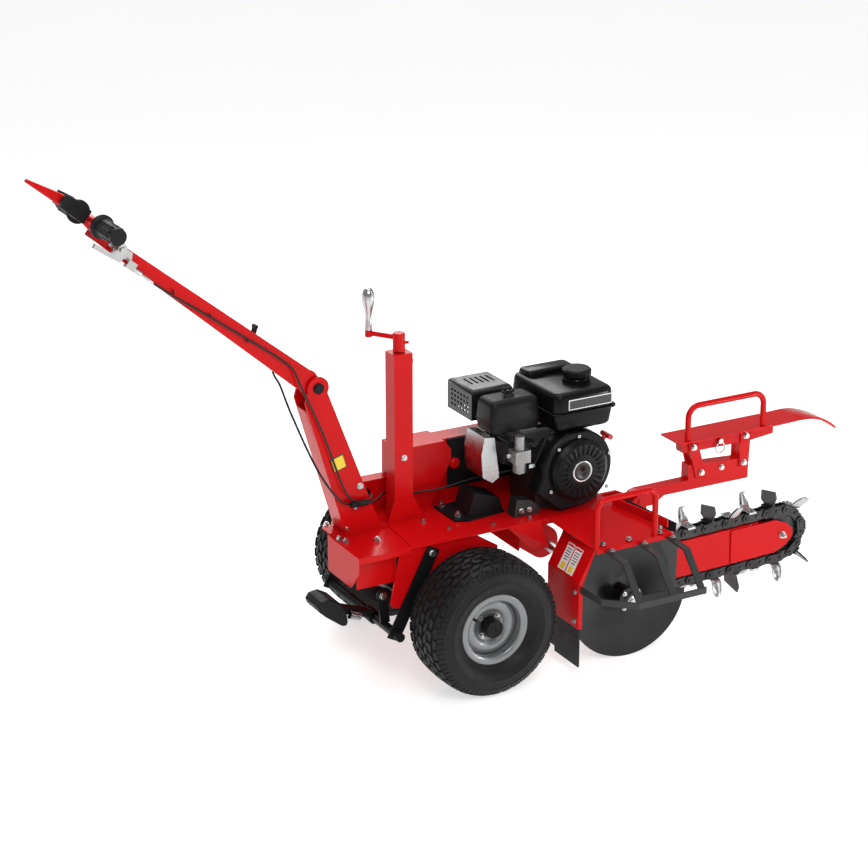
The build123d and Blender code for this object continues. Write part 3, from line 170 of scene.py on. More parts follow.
CHAIN = material("oiled_chain", (0.040, 0.040, 0.040), 0.34, metal=0.8, vary=0.35, scale=30, grain=500,
                 bump=0.00006, dust=0.3, dust_colour=(0.10, 0.10, 0.10))
TOOL = material("forged_cutter", (0.46, 0.47, 0.48), 0.27, metal=1.0, vary=0.14, scale=26, grain=420,
                bump=0.00009, rough_vary=0.12)
DARK_CAST = material("dark_casting", (0.035, 0.035, 0.036), 0.40, metal=0.5, vary=0.2, scale=22, grain=380,
                     bump=0.00008)
CAST = material("cast_alloy", (0.30, 0.30, 0.30), 0.40, metal=0.9, vary=0.14, scale=25, grain=380,
                bump=0.0001)
POLISH = material("polished_alloy", (0.50, 0.50, 0.50), 0.20, metal=1.0, vary=0.04, scale=14, grain=1500,
                  bump=0.00001, rough_vary=0.05)
TYRE_M = material("tyre_rubber", (0.0075, 0.0075, 0.0077), 0.50, gloss=0.22, vary=0.22, scale=16,
                  grain=600, bump=0.00009, dust=0.08, dust_colour=(0.04, 0.039, 0.037))
RUBBER = material("soft_rubber", (0.007, 0.007, 0.008), 0.50, gloss=0.22, vary=0.2, scale=20, grain=900,
                  bump=0.00008)
CABLE = material("cable_sheath", (0.006, 0.006, 0.006), 0.34, gloss=0.3, vary=0.15, scale=60, grain=800)
PLASTIC = material("moulded_black", (0.008, 0.008, 0.009), 0.36, gloss=0.16, vary=0.2, scale=18,
                   grain=1300, bump=0.00005)
GREY_PL = material("moulded_grey", (0.005, 0.005, 0.0055), 0.32, gloss=0.14, vary=0.12, scale=18,
                   grain=1300, bump=0.00006)
TANK = material("tank_enamel", (0.004, 0.004, 0.004), 0.20, coat=0.05, gloss=0.13, vary=0.1, scale=8,
                grain=420, bump=0.00003, rough_vary=0.05)
GUARD = material("muffler_paint", (0.010, 0.010, 0.010), 0.26, coat=0.1, gloss=0.4, vary=0.12, grain=800)
LABEL_Y = material("label_yellow", (0.83, 0.62, 0.03), 0.35, vary=0.03, scale=20)
LABEL_W = material("label_white", (0.80, 0.80, 0.78), 0.35, vary=0.03, scale=20)
LABEL_K = material("label_black", (0.012, 0.012, 0.012), 0.30, vary=0.05, scale=20)
LABEL_R = material("label_red", (0.62, 0.02, 0.02), 0.32, vary=0.03, scale=20)
FLOOR = material("studio_floor", (0.86, 0.86, 0.86), 0.55, vary=0.012, scale=1.2, grain=90, bump=0.00002)

LOOKS = {"axle": RED, "deck": RED, "crank_post": RED, "belt_guard": RED, "boom_mount": RED,
         "jack_screw": RED, "crank_knob": POLISH, "jack_leg": DARK, "lower_handle": RED,
         "fold_pin": PLASTIC, "upper_handle": RED, "handle_grips": RUBBER, "presence_lever": RED,
         "clutch_mount": ZINC, "clutch_lever": ZINC, "throttle_mount": PLASTIC,
         "throttle_lever": PLASTIC, "clutch_cable_upper": CABLE, "clutch_cable_lower": CABLE,
         "throttle_cable_upper": CABLE, "throttle_cable_lower": CABLE, "brake_frame": DARK,
         "brake_pedal": DARK, "pedal_pad": RUBBER, "mud_guard": RED, "rubber_trim": RUBBER,
         "auger_hood": RED, "hood_handle": RED, "guard_cage": CAGE, "auger": DISC, "head_shaft": STEEL,
         "tail_sprocket": CHAIN, "boom_bar": RED, "boom_nose": RED, "chain_links": CHAIN,
         "chain_pins": CHAIN, "chain_cutters": TOOL, "crumber_arm": RED, "shoe_plate": RED,
         "crumber_handle": RED, "lynch_pin": ZINC, "crumber_bolts": ZINC, "engine_base": DARK,
         "crankcase": DARK_CAST, "blower_housing": GREY_PL, "recoil_grip": RED_PL, "fuel_tank": TANK,
         "fuel_cap": PLASTIC, "air_cleaner": PLASTIC, "muffler": GUARD, "heat_shield": FOLDED,
         "carburettor": CAST, "crankshaft": STEEL, "countershaft": STEEL, "drive_belt": RUBBER,
         "chassis_bolts": ZINC, "tyre_near": TYRE_M, "tyre_far": TYRE_M, "rim_near": RIM,
         "rim_far": RIM}
# Width of the rounding on a CAD piece's edges, in millimetres.
SOFT_EDGE = {"deck": 1.0, "crank_post": 2.2, "belt_guard": 2.4, "boom_mount": 1.2, "lower_handle": 2.4,
             "upper_handle": 2.4, "boom_bar": 2.4, "crumber_arm": 1.5, "shoe_plate": 1.0, "mud_guard": 1.0,
             "auger_hood": 1.0, "guard_cage": 0.8, "engine_base": 1.2, "muffler": 1.5, "brake_frame": 1.5,
             "brake_pedal": 1.5, "pedal_pad": 3.0, "crankcase": 2.0, "heat_shield": 0.8, "clutch_mount": 0.8,
             "clutch_lever": 1.5, "throttle_mount": 2.0, "boom_nose": 1.0, "chain_cutters": 1.4,
             "presence_lever": 1.0, "axle": 1.2, "fuel_tank": 3.0, "air_cleaner": 1.5, "blower_housing": 2.0}
for name, node in nodes.items():
    node.data.materials.clear()
    node.data.materials.append(LOOKS[name])
    if name in SOFT_EDGE:
        weld = node.modifiers.new("weld", "WELD")
        weld.merge_threshold = WELD_DISTANCE
        edge = node.modifiers.new("edge", "BEVEL")
        edge.width = SOFT_EDGE[name] / 1000
        edge.segments = EDGE_STEPS
        edge.limit_method = "ANGLE"
        edge.angle_limit = CAD_CREASE
        edge.harden_normals = True
        edge.use_clamp_overlap = True


# ---------------------------------------------------------------- mesh helpers
def piece(name, mesh, mat, body, *stands_for, smooth=True, bevel=0.0, slot=None):
    """Adds a finished mesh to the scene and gives it its look and its body."""
    obj = bpy.data.objects.new(name, mesh)
    scene.collection.objects.link(obj)
    mesh.materials.append(mat)
    if smooth:
        mesh.polygons.foreach_set("use_smooth", [True] * len(mesh.polygons))
    if bevel:
        edge = obj.modifiers.new("edge", "BEVEL")
        edge.width = bevel
        edge.segments = EDGE_STEPS
        edge.limit_method = "ANGLE"
        edge.angle_limit = MESH_CREASE
        edge.harden_normals = True
    if body:
        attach(obj, body)
    if stands_for:
        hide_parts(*stands_for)
    return obj


def mesh_of(name, points, faces):
    """A mesh with doubled points merged and its normals facing out."""
    mesh = bpy.data.meshes.new(name)
    mesh.from_pydata([tuple(p) for p in points], [], faces)
    mesh.validate()
    bm = bmesh.new()
    bm.from_mesh(mesh)
    bmesh.ops.remove_doubles(bm, verts=bm.verts, dist=MERGE_DISTANCE)
    bmesh.ops.recalc_face_normals(bm, faces=bm.faces)
    bm.to_mesh(mesh)
    bm.free()
    return mesh


def lathe(name, profile, centre, steps=96, axis="Y"):
    """A closed outline of (radius, offset) millimetres turned about a line along Y or Z."""
    points, faces = [], []
    count = len(profile)
    for k in range(steps):
        a = 2 * pi * k / steps
        for r, w in profile:
            if axis == "Y":
                points.append(centre + Vector((r * cos(a), w, r * sin(a))) / 1000)
            else:
                points.append(centre + Vector((r * cos(a), r * sin(a), w)) / 1000)
    for k in range(steps):
        for i in range(count):
            j = (i + 1) % count
            k2 = (k + 1) % steps
            faces.append((k * count + i, k * count + j, k2 * count + j, k2 * count + i))
    return mesh_of(name, points, faces)


def slab(name, outline, push):
    """A flat polygon pushed along a vector, all in metres."""
    n = len(outline)
    points = [Vector(p) for p in outline] + [Vector(p) + Vector(push) for p in outline]
    faces = [tuple(range(n)), tuple(range(2 * n - 1, n - 1, -1))]
    faces += [(i, (i + 1) % n, n + (i + 1) % n, n + i) for i in range(n)]
    return mesh_of(name, points, faces)


def tube(name, route, radius, mat, body=None, *stands_for, bodies=None, span=None):
    """A round cable along one smooth curve through a route's control points."""
    curve = bpy.data.curves.new(name, "CURVE")
    curve.dimensions = "3D"
    curve.bevel_depth = radius
    curve.bevel_resolution = CURVE_SIDES
    curve.resolution_u = CURVE_STEPS
    curve.use_fill_caps = True
    spline = curve.splines.new("NURBS")
    spline.points.add(len(route) - 1)
    for point, place in zip(spline.points, route):
        point.co = (place[0], place[1], place[2], 1)
    spline.order_u = CURVE_ORDER
    spline.use_endpoint_u = True
    holder = bpy.data.objects.new(name + "_curve", curve)
    scene.collection.objects.link(holder)
    bpy.context.view_layer.update()
    mesh = bpy.data.meshes.new_from_object(holder.evaluated_get(bpy.context.evaluated_depsgraph_get()))
    bpy.data.objects.remove(holder)
    obj = bpy.data.objects.new(name, mesh)
    scene.collection.objects.link(obj)
    mesh.materials.clear()
    mesh.materials.append(mat)
    mesh.polygons.foreach_set("use_smooth", [True] * len(mesh.polygons))
    if bodies:
        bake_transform(obj)
    else:
        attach(obj, body)
    if stands_for:
        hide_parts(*stands_for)
    return obj


def joined(name, meshes):
    """Several meshes as one."""
    bm = bmesh.new()
    for mesh in meshes:
        bm.from_mesh(mesh)
    out = bpy.data.meshes.new(name)
    bm.to_mesh(out)
    bm.free()
    return out


# ---------------------------------------------------------------- wheels
TREAD_FLAT, TREAD_RADIUS = 70, 225.0   # half the flat tread's width, and its radius at that edge


def crown(y):
    """Tread radius at a distance from the tyre's middle, in millimetres."""
    y = abs(y)
    if y <= TREAD_FLAT:
        return AXLE_HEIGHT - 3.6 * (y / TREAD_FLAT) ** 2
    return TREAD_RADIUS - 5.0 * ((y - TREAD_FLAT) / 14) ** 1.5


def tyre(side):
    """A turf tyre: a turned carcass, seven rows of tread blocks and two rows of shoulder lugs."""
    name = "tyre_near" if side < 0 else "tyre_far"
    body = "wheel_near" if side < 0 else "wheel_far"
    centre = at(0, side * WHEEL_Y, AXLE_HEIGHT)
    half = [(101.6, 60), (101.6, 72), (112, 74.5), (118, 73), (121, 76), (124, 80.5), (127, 82),
            (131, 86), (138, 93.5), (146, 99), (154, 103), (162, 104.5), (163.5, 106), (166.5, 106),
            (168, 104.5), (178, 104), (187, 102), (193, 99.5), (194, 100.8), (197, 99.6), (198, 97.5),
            (205, 93), (211, 88.5), (214.5, 84), (217.4, 76), (219.2, 66), (220.6, 50), (221.4, 30),
            (221.8, 12)]
    profile = half + [(r, -w) for r, w in reversed(half)]
    inner = [(130, -58), (165, -92), (200, -78), (211, 0), (200, 78), (165, 92), (130, 58)]
    carcass = lathe(name + "_carcass", profile + inner, centre, 128)
    points, faces = [], []
    rows = [(-78, 14, 34), (-52, 19, 30), (-26, 19, 30), (0, 19, 30), (26, 19, 30), (52, 19, 30),
            (78, 14, 34)]
    around = 36
    for index, (mid, wide, length) in enumerate(rows):
        lean = 0.30 if index % 2 else -0.30
        if abs(mid) == 78:
            lean = 0.12 * (1 if mid > 0 else -1)
        for k in range(around):
            a0 = 2 * pi * (k + (0.5 if index % 2 else 0.0)) / around
            b = len(points)
            for depth, shrink in ((-8.0, 1.0), (0.0, 0.80)):
                for sx, sy in ((-1, -1), (1, -1), (1, 1), (-1, 1)):
                    y = mid + sy * wide / 2 * shrink
                    arc = (sx * length / 2 * shrink + lean * sy * wide) / TREAD_RADIUS
                    r = crown(y) + depth
                    a = a0 + arc
                    points.append(centre + Vector((r * cos(a), side * y, r * sin(a))) / 1000)
            faces += [(b + 4, b + 5, b + 6, b + 7), (b, b + 1, b + 5, b + 4), (b + 1, b + 2, b + 6, b + 5),
                      (b + 2, b + 3, b + 7, b + 6), (b + 3, b, b + 4, b + 7)]
    for k in range(around * 2):
        a0 = 2 * pi * k / (around * 2)
        for sy in (-1, 1):
            b = len(points)
            wide = 4.2 if k % 2 else 5.4
            for r, w, grow in ((197, 96.0, 1.0), (214, 84.0, 1.0), (197, 100.0, 0.7), (215.5, 88.5, 0.7)):
                for sx in (-1, 1):
                    a = a0 + sx * wide * grow / 200
                    points.append(centre + Vector((r * cos(a), sy * w, r * sin(a))) / 1000)
            faces += [(b + 4, b + 5, b + 7, b + 6), (b, b + 4, b + 6, b + 2), (b + 1, b + 3, b + 7, b + 5),
                      (b + 2, b + 6, b + 7, b + 3), (b, b + 1, b + 5, b + 4)]
    blocks = mesh_of(name + "_blocks", points, faces)
    blocks.polygons.foreach_set("use_smooth", [False] * len(blocks.polygons))
    carcass.polygons.foreach_set("use_smooth", [True] * len(carcass.polygons))
    piece("turf_" + name, joined(name + "_mesh", [carcass, blocks]), TYRE_M, body, name, smooth=False,
          slot="tyre_rubber")


def wheel(side):
    """Painted rim with rolled flanges and a stepped dish, a black hub, a valve stem and four studs."""
    name = "rim_near" if side < 0 else "rim_far"
    body = "wheel_near" if side < 0 else "wheel_far"
    centre = at(0, side * WHEEL_Y, AXLE_HEIGHT)
    rim = [(94, 70), (99, 74), (108, 75), (115, 76.8), (119.3, 75), (119.4, 72.4), (113, 71.6),
           (104, 70), (101.4, 66), (101.4, 40), (97, 34), (97, -34), (101.4, -40), (101.4, -66),
           (104, -70), (113, -71.6), (119.4, -72.4), (119.3, -75), (115, -76.8), (108, -75), (99, -74),
           (94, -70), (94, -38), (93, -30), (93, 30), (94, 38)]
    dish = [(31.2, 30.4), (47, 30.4), (53, 33), (60, 41), (68, 44.6), (78, 44.6), (86, 40), (94, 38),
            (94, 44), (87, 46), (79, 50), (67, 50), (57, 46), (50, 38.6), (46, 36), (31.2, 36)]
    grey = [lathe("rim_ring", rim, centre), lathe("rim_dish", [(r, side * w) for r, w in dish], centre)]
    piece("painted_" + name, joined("rim_mesh", grey), RIM, body, name, slot="rim_paint")
    hub = [(15.2, -74), (30.8, -74), (30.8, 58), (29.5, 62), (29.5, 66), (30.5, 68), (30.5, 71), (28, 73.8),
           (20, 73.8), (18.5, 72.6), (17, 72.6), (15.2, 73.6), (0.01, 73.9), (0.01, 62), (15.2, 62)]
    piece("hub_" + name, lathe("hub_mesh", [(r, side * w) for r, w in hub], centre, 64), BLACK_COAT, body,
          slot="black_coat")
    stem = [(0.01, 46), (5.2, 46), (5.2, 50), (3.6, 52), (3.6, 60), (4.4, 60.5), (4.4, 68), (3.2, 69.5),
            (0.01, 69.6)]
    valve_at = centre + Vector((-0.064, 0, 0.041))
    piece("valve_" + name, lathe("valve_mesh", [(r, side * w) for r, w in stem], valve_at, 20), RUBBER, body)
    nuts = []
    for k in range(4):
        a = radians(45 + 90 * k)
        c = centre + Vector((41 * cos(a), 0, 41 * sin(a))) / 1000
        nuts.append(lathe("nut", [(0.01, side * 35), (9, side * 35), (9, side * 37), (6.6, side * 37.2),
                                  (6.6, side * 42), (5.6, side * 43), (3.2, side * 43),
                                  (3.2, side * 46), (0.01, side * 46)], c, 6))
    piece("studs_" + name, joined("nuts_mesh", nuts), ZINC, body, smooth=False, slot="zinc")


for side in (-1, 1):
    tyre(side)
    wheel(side)


# ---------------------------------------------------------------- cables
def arm(s, n, y):
    """A place on the upper handle arm, as in the CAD source."""
    return at(FOLD_X - cos(ARM) * s + sin(ARM) * n, y, FOLD_Z + sin(ARM) * s + cos(ARM) * n)


clutch_top = [arm(671.5, -10, -41), arm(615, -10, -41), arm(556, -7, -40), arm(497, -3, -39),
              arm(438, 0, -38.5), arm(379, 2, -38), arm(320, 5, -38), arm(261, 8, -38.5),
              arm(202, 10, -39.5), arm(150, 10.5, -41), arm(112, 7, -43)]
clutch_low = [at(-481, -52, 998), at(-464, -53, 960), at(-446, -55, 920), at(-426, -56, 872),
              at(-407, -57, 822), at(-389, -58, 770), at(-372, -59, 718), at(-356, -61, 668),
              at(-338, -63, 626), at(-312, -64, 599), at(-280, -64, 592), at(-248, -56, 594),
              at(-230, -24, 590), at(-212, 12, 578), at(-199, 52, 560), at(-190, 94.8, 548)]
throttle_top = [arm(207.5, 4, 38), arm(186, 1, 38.5), arm(165, -6, 40), arm(143, -16, 42.5),
                arm(122, -29, 46), arm(105, -42, 49)]
throttle_low = [at(-508, 50, 990), at(-494, 48, 946), at(-480, 42, 900), at(-464, 31, 852),
                at(-449, 17, 804), at(-435, -4, 757), at(-421, -27, 712), at(-402, -47, 670),
                at(-378, -55, 631), at(-350, -56, 600), at(-316, -55, 585), at(-280, -54, 581),
                at(-244, -51, 579), at(-216, -32, 577), at(-188, -4, 572), at(-161, 35, 566),
                at(-119, 37.5, 557), at(-76, 36, 550), at(-36, 25, 547), at(8, 10, 550), at(54, 0, 556),
                at(98, -3, 563), at(144, -6, 570), at(188, -24, 579), at(226, -44, 589),
                at(262, -60, 596), at(299.2, -70, 600)]
tube("clutch_cable", clutch_top + clutch_low, CABLE_RADIUS, CABLE, None, "clutch_cable_upper",
     "clutch_cable_lower", bodies=("upper_arm", "chassis"),
     span=(at(-515, -45, 1072), at(-470, -53, 975)))
tube("throttle_cable", throttle_top + throttle_low, CABLE_RADIUS, CABLE, None, "throttle_cable_upper",
     "throttle_cable_lower", bodies=("upper_arm", "chassis"), span=(at(-524, 49, 1030), at(-500, 50, 960)))

# ---------------------------------------------------------------- moulded forms
def ring(x, y, corner):
    """A rounded rectangle of (x, y) places, in millimetres."""
    corner = max(0.2, corner)
    out = []
    for cx, cy, start in ((x[1] - corner, y[1] - corner, 0), (x[0] + corner, y[1] - corner, 90),
                          (x[0] + corner, y[0] + corner, 180), (x[1] - corner, y[0] + corner, 270)):
        for k in range(MOULD_STEPS + 1):
            a = radians(start + 90 * k / MOULD_STEPS)
            out.append((cx + corner * cos(a), cy + corner * sin(a)))
    return out


def moulded(name, x, y, z, corner, top=0.0, bottom=0.0, taper=0.0, foot=0.0):
    """A moulded box: rounded plan corners, rolled top and bottom edges, and drafted sides."""
    layers = []
    height = z[1] - z[0]
    for k in range(MOULD_STEPS + 1):
        a = pi / 2 * k / MOULD_STEPS
        layers.append((bottom * (1 - sin(a)), z[0] + bottom * (1 - cos(a))))
    for k in range(MOULD_STEPS + 1):
        a = pi / 2 * k / MOULD_STEPS
        layers.append((top * (1 - cos(a)), z[1] - top * (1 - sin(a))))
    points, faces = [], []
    count = 4 * (MOULD_STEPS + 1)
    for inset, level in layers:
        t = (level - z[0]) / height
        draft = inset + taper * t + foot * (1 - t)
        outline = ring((x[0] + draft, x[1] - draft), (y[0] + draft, y[1] - draft), corner - inset * 0.5)
        points += [at(px, py, level) for px, py in outline]
    for i in range(len(layers) - 1):
        for j in range(count):
            j2 = (j + 1) % count
            faces.append((i * count + j, i * count + j2, (i + 1) * count + j2, (i + 1) * count + j))
    faces.append(tuple(range(count - 1, -1, -1)))
    faces.append(tuple(range((len(layers) - 1) * count, len(layers) * count)))
    return mesh_of(name, points, faces)


def plate(name, corners, thick):
    """A thin plate standing proud of a surface, corners in millimetres, pushed along its normal."""
    places = [at(*c) for c in corners]
    normal = (places[1] - places[0]).cross(places[2] - places[0]).normalized()
    return slab(name, places, normal * thick / 1000)


# ---------------------------------------------------------------- engine
tank = [moulded("tank_low", (346, 570), (-195, 93), (745, 808), 26, 1.5, 14, 0, 7),
        moulded("tank_seam", (337, 579), (-206, 102), (807.5, 814.5), 30, 2.5, 2.5),
        moulded("tank_top", (344, 572), (-197, 95), (814, 876), 28, 15, 1.0, 5),
        moulded("tank_rear", (366, 548), (12, 86), (868, 892), 16, 9, 1.0, 3),
        lathe("tank_neck", [(0.01, 870), (45, 870), (45, 877), (42, 880), (39, 884.2), (0.01, 884.2)],
              at(505, -62, 0), 64, "Z")]
piece("tank_shell", joined("tank_mesh", tank), TANK, "chassis", "fuel_tank", slot="black_coat")
tank_label = [(392, -196.6, 822), (556, -196.6, 822), (556, -196.6, 856), (392, -196.6, 856)]
piece("tank_label_edge", plate("tank_label_edge", tank_label, 1.0), LABEL_W, "chassis", smooth=False)
inner = [(395, -197.0, 825), (553, -197.0, 825), (553, -197.0, 853), (395, -197.0, 853)]
piece("tank_label_face", plate("tank_label_face", inner, 1.0), LABEL_K, "chassis", smooth=False)

cleaner = [moulded("cleaner_base", (152, 332), (-124, -14), (754, 788), 14, 1.0, 4, 0, 3),
           moulded("cleaner_seam", (149, 335), (-127, -11), (786, 791), 17, 1.5, 1.5),
           moulded("cleaner_lid", (150, 334), (-126, -12), (790, 862), 18, 20, 0.5, 5)]
piece("cleaner_box", joined("cleaner_mesh", cleaner), PLASTIC, "chassis", "air_cleaner", slot="black_plastic")
wing = [lathe("wing_boss", [(0.01, 861), (20, 861), (21, 863), (16, 866), (9, 868), (8, 876), (5, 879),
                            (0.01, 879)], at(242, -69, 0), 40, "Z")]
for s in (-1, 1):
    ear = [at(242 + s * 4, -72, 866), at(242 + s * 22, -71.5, 870), at(242 + s * 24, -71, 878),
           at(242 + s * 17, -71, 880), at(242 + s * 5, -72, 874)]
    wing.append(slab("wing_ear", ear, (0, 0.005, 0)))
piece("cleaner_wing_nut", joined("wing_mesh", wing), PLASTIC, "chassis", bevel=0.0006)

starter_line = at(425, 0, 620)
badge = [(0.01, -236.4), (31, -236.4), (33, -237), (35.5, -237), (36.5, -236.2), (36.5, -234.5),
         (0.01, -234.5)]
piece("badge_ring", lathe("badge_ring_mesh", badge, starter_line, 72), POLISH, "chassis")
face = [(0.01, -237.2), (28, -237.2), (30.5, -236.9), (30.5, -236), (0.01, -236)]
piece("badge_face", lathe("badge_face_mesh", face, starter_line, 72), LABEL_K, "chassis")
for k, (x, z) in enumerate(((425, 733), (322, 560), (535, 540), (350, 700), (541, 655))):
    screw = [(0.01, -209.5), (6.6, -209.5), (6.6, -212), (5.4, -214.2), (2.6, -214.4), (2.6, -213),
             (0.01, -213)]
    piece(f"housing_screw_{k}", lathe("screw_mesh", screw, at(x, 0, z), 24), ZINC, "chassis", slot="zinc")

plug_route = [at(214, -66, 716), at(196, -68, 724), at(176, -74, 734), at(168, -90, 752), at(182, -118, 742),
              at(216, -134, 720), at(262, -138, 712)]
tube("plug_lead", plug_route, CABLE_RADIUS, CABLE, "chassis")
boot = [at(232, -66, 708), at(222, -66, 712), at(208, -66, 718), at(198, -67, 724)]
tube("plug_boot", boot, 0.009, RUBBER, "chassis")
fuel_pipe = [at(352, -150, 748), at(338, -158, 730), at(312, -166, 700), at(296, -168, 668),
             at(284, -168, 650)]
tube("fuel_pipe", fuel_pipe, 0.0045, RUBBER, "chassis")

# ---------------------------------------------------------------- blank labels
sticker = [(-372.0, -42.1, 700), (-325.5, -42.1, 714), (-339.5, -42.1, 760), (-386, -42.1, 746)]
piece("arm_label_edge", plate("arm_label_edge", sticker, 0.5), LABEL_K, "chassis", smooth=False)
sticker = [(-368.8, -42.5, 703.6), (-329.2, -42.5, 715.5), (-341, -42.5, 755), (-380.6, -42.5, 743)]
piece("arm_label", plate("arm_label", sticker, 0.5), LABEL_Y, "chassis", smooth=False)
SLOPE_UP = Vector((54, 0, 100)).normalized()
SLOPE_OUT = Vector((-100, 0, 54)).normalized()
LABEL_THICK = 0.4


def on_slope(y, t, lift):
    """A place on the mud guard's slope, t millimetres up from its foot and lift off its face."""
    p = Vector((286, y, 339)) + SLOPE_UP * t + SLOPE_OUT * lift
    return (p.x, p.y, p.z)


# The marks of one slope label: name, start and end up the slope, inset, lift and look.
SLOPE_MARKS = [("white", 6, 96, 0, 0.1, LABEL_W), ("band", 86, 93, 3, 0.4, LABEL_R),
               ("block", 11, 32, 9, 0.4, LABEL_Y), ("rule_a", 76, 79, 6, 0.4, LABEL_K),
               ("rule_b", 67, 70, 6, 0.4, LABEL_K), ("rule_c", 58, 61, 6, 0.4, LABEL_K),
               ("rule_d", 49, 52, 6, 0.4, LABEL_K), ("rule_e", 40, 43, 9, 0.4, LABEL_K)]
for k, (y0, y1) in enumerate(((-352, -312), (-398, -358))):
    for tag, t0, t1, inset, lift, look in SLOPE_MARKS:
        corners = [on_slope(y0 + inset, t0, lift), on_slope(y0 + inset, t1, lift),
                   on_slope(y1 - inset, t1, lift), on_slope(y1 - inset, t0, lift)]
        mesh = plate(f"slope_label_{k}_{tag}", corners, LABEL_THICK)
        piece(f"slope_label_{k}_{tag}", mesh, look, "chassis", smooth=False)

# ---------------------------------------------------------------- digging chain cutters
TILT = radians(1.1)                    # the boom's rise
PITCH, TEETH, LINKS = 42.01, 13, 48
QUARTER_RUN = PITCH * (LINKS - TEETH) / 4


def boom(s, y, o):
    """A place on the boom in millimetres from the ground under the axle, as in the CAD source."""
    return Vector((SHAFT_X + s * cos(TILT) - o * sin(TILT), BOOM_Y + y,
                   SHAFT_Z + s * sin(TILT) + o * cos(TILT)))


def pin_places():
    """Where each chain pin sits, as places along and across the boom."""
    reach = PITCH * (LINKS - TEETH) / 2
    arc = PITCH * TEETH / 2
    radius = PITCH / (2 * sin(pi / TEETH))
    places = []
    for k in range(LINKS):
        d = k * PITCH
        if d < reach:
            places.append((d, radius))
        elif d < reach + arc:
            turn = pi * (d - reach) / arc
            places.append((reach + radius * sin(turn), radius * cos(turn)))
        elif d < 2 * reach + arc:
            places.append((2 * reach + arc - d, -radius))
        else:
            turn = pi * (d - 2 * reach - arc) / arc
            places.append((-radius * sin(turn), -radius * cos(turn)))
    return places


def cutter_mesh(origin, along, outward, side):
    """A forged cutter: flat foot on the link, then a cupped blade that curls out to a chisel tip."""
    line = [(-26, 18.9, 15, 0), (-10, 18.9, 16, 0), (8, 18.9, 16, 0), (22, 19.8, 17, 1), (31, 24.5, 18, 2),
            (38, 32, 18.5, 3), (44, 41, 18, 5), (50, 50, 16, 7), (56, 59, 12.5, 9), (60, 66, 9.5, 11)]
    points, faces = [], []
    for i, (y, z, half, shift) in enumerate(line):
        a = line[max(0, i - 1)]
        b = line[min(len(line) - 1, i + 1)]
        run = Vector((b[0] - a[0], b[1] - a[1])).normalized()
        up = Vector((-run.y, run.x))
        thick = 3.6 if i < 9 else 1.2
        for t, sign in ((-1, 1), (-0.5, 1), (0, 1), (0.5, 1), (1, 1), (1, -1), (0.5, -1), (0, -1), (-0.5, -1),
                        (-1, -1)):
            cup = 6.0 * (t * t) * min(1.0, max(0.0, (i - 2) / 4))
            px = t * half + shift
            py = y + up.x * (sign * thick + cup)
            pz = z + up.y * (sign * thick + cup)
            spot = origin + along * px + Vector((0, 1, 0)) * (side * py) + outward * pz
            points.append(at(*spot))
    n = 10                             # points around one section
    for i in range(len(line) - 1):
        for j in range(n):
            faces.append((i * n + j, i * n + (j + 1) % n, (i + 1) * n + (j + 1) % n, (i + 1) * n + j))
    faces.append(tuple(range(n)))
    faces.append(tuple(range((len(line) - 1) * n, len(line) * n)))
    return mesh_of("cutter", points, faces)


def hex_head(origin, axis, across, tall):
    """A washer and a chamfered hexagon head standing along an axis, millimetres."""
    axis = Vector(axis).normalized()
    u = axis.orthogonal().normalized()
    v = axis.cross(u)
    points, faces = [], []
    levels = [(across * 0.80, 0), (across * 0.80, 1.6), (across * 0.577, 1.7),
              (across * 0.577, tall * 0.86), (across * 0.50, tall), (across * 0.2, tall)]
    for radius, level in levels:
        for k in range(HEX_STEPS):
            a = 2 * pi * k / HEX_STEPS
            r = radius
            if level > 1.6:
                sector = (a % (pi / 3)) - pi / 6
                r = radius * cos(pi / 6) / cos(sector)
            points.append(at(*(Vector(origin) + u * r * cos(a) + v * r * sin(a) + axis * level)))
    n = HEX_STEPS
    for i in range(len(levels) - 1):
        for j in range(n):
            faces.append((i * n + j, i * n + (j + 1) % n, (i + 1) * n + (j + 1) % n, (i + 1) * n + j))
    faces.append(tuple(range(n)))
    faces.append(tuple(range((len(levels) - 1) * n, len(levels) * n)))
    return mesh_of("hex", points, faces)


blades, heads = [], []
places = pin_places()
middle = boom(QUARTER_RUN, 0, 0)
line_dir = (boom(1, 0, 0) - boom(0, 0, 0)).normalized()
turn = 0
for k in range(0, LINKS, 2):
    (s0, o0), (s1, o1) = places[k], places[(k + 1) % LINKS]
    a, b = boom(s0, 0, o0), boom(s1, 0, o1)
    origin = (a + b) / 2
    along = (b - a).normalized()
    outward = along.cross(Vector((0, 1, 0))) * -1
    run = (origin - middle).dot(line_dir)
    core = middle + line_dir * max(-QUARTER_RUN, min(QUARTER_RUN, run))
    if (origin - core).dot(outward) < 0:
        outward = outward * -1
    if (k // 2) % 3 == 2:
        continue
    side = 1 if turn % 2 else -1
    turn += 1
    blades.append(cutter_mesh(origin, along, outward, side))
    for px in (-7.5, 7.5):
        spot = origin + along * px + Vector((0, 1, 0)) * (-side * 8) + outward * 21.8
        heads.append(hex_head(spot, outward, 9.5, 7))
piece("forged_cutters", joined("cutters_mesh", blades), TOOL, "chassis", "chain_cutters", slot="tool_steel",
      bevel=0.0008)
piece("cutter_bolts", joined("cutter_bolts_mesh", heads), ZINC, "chassis", smooth=False, slot="zinc")

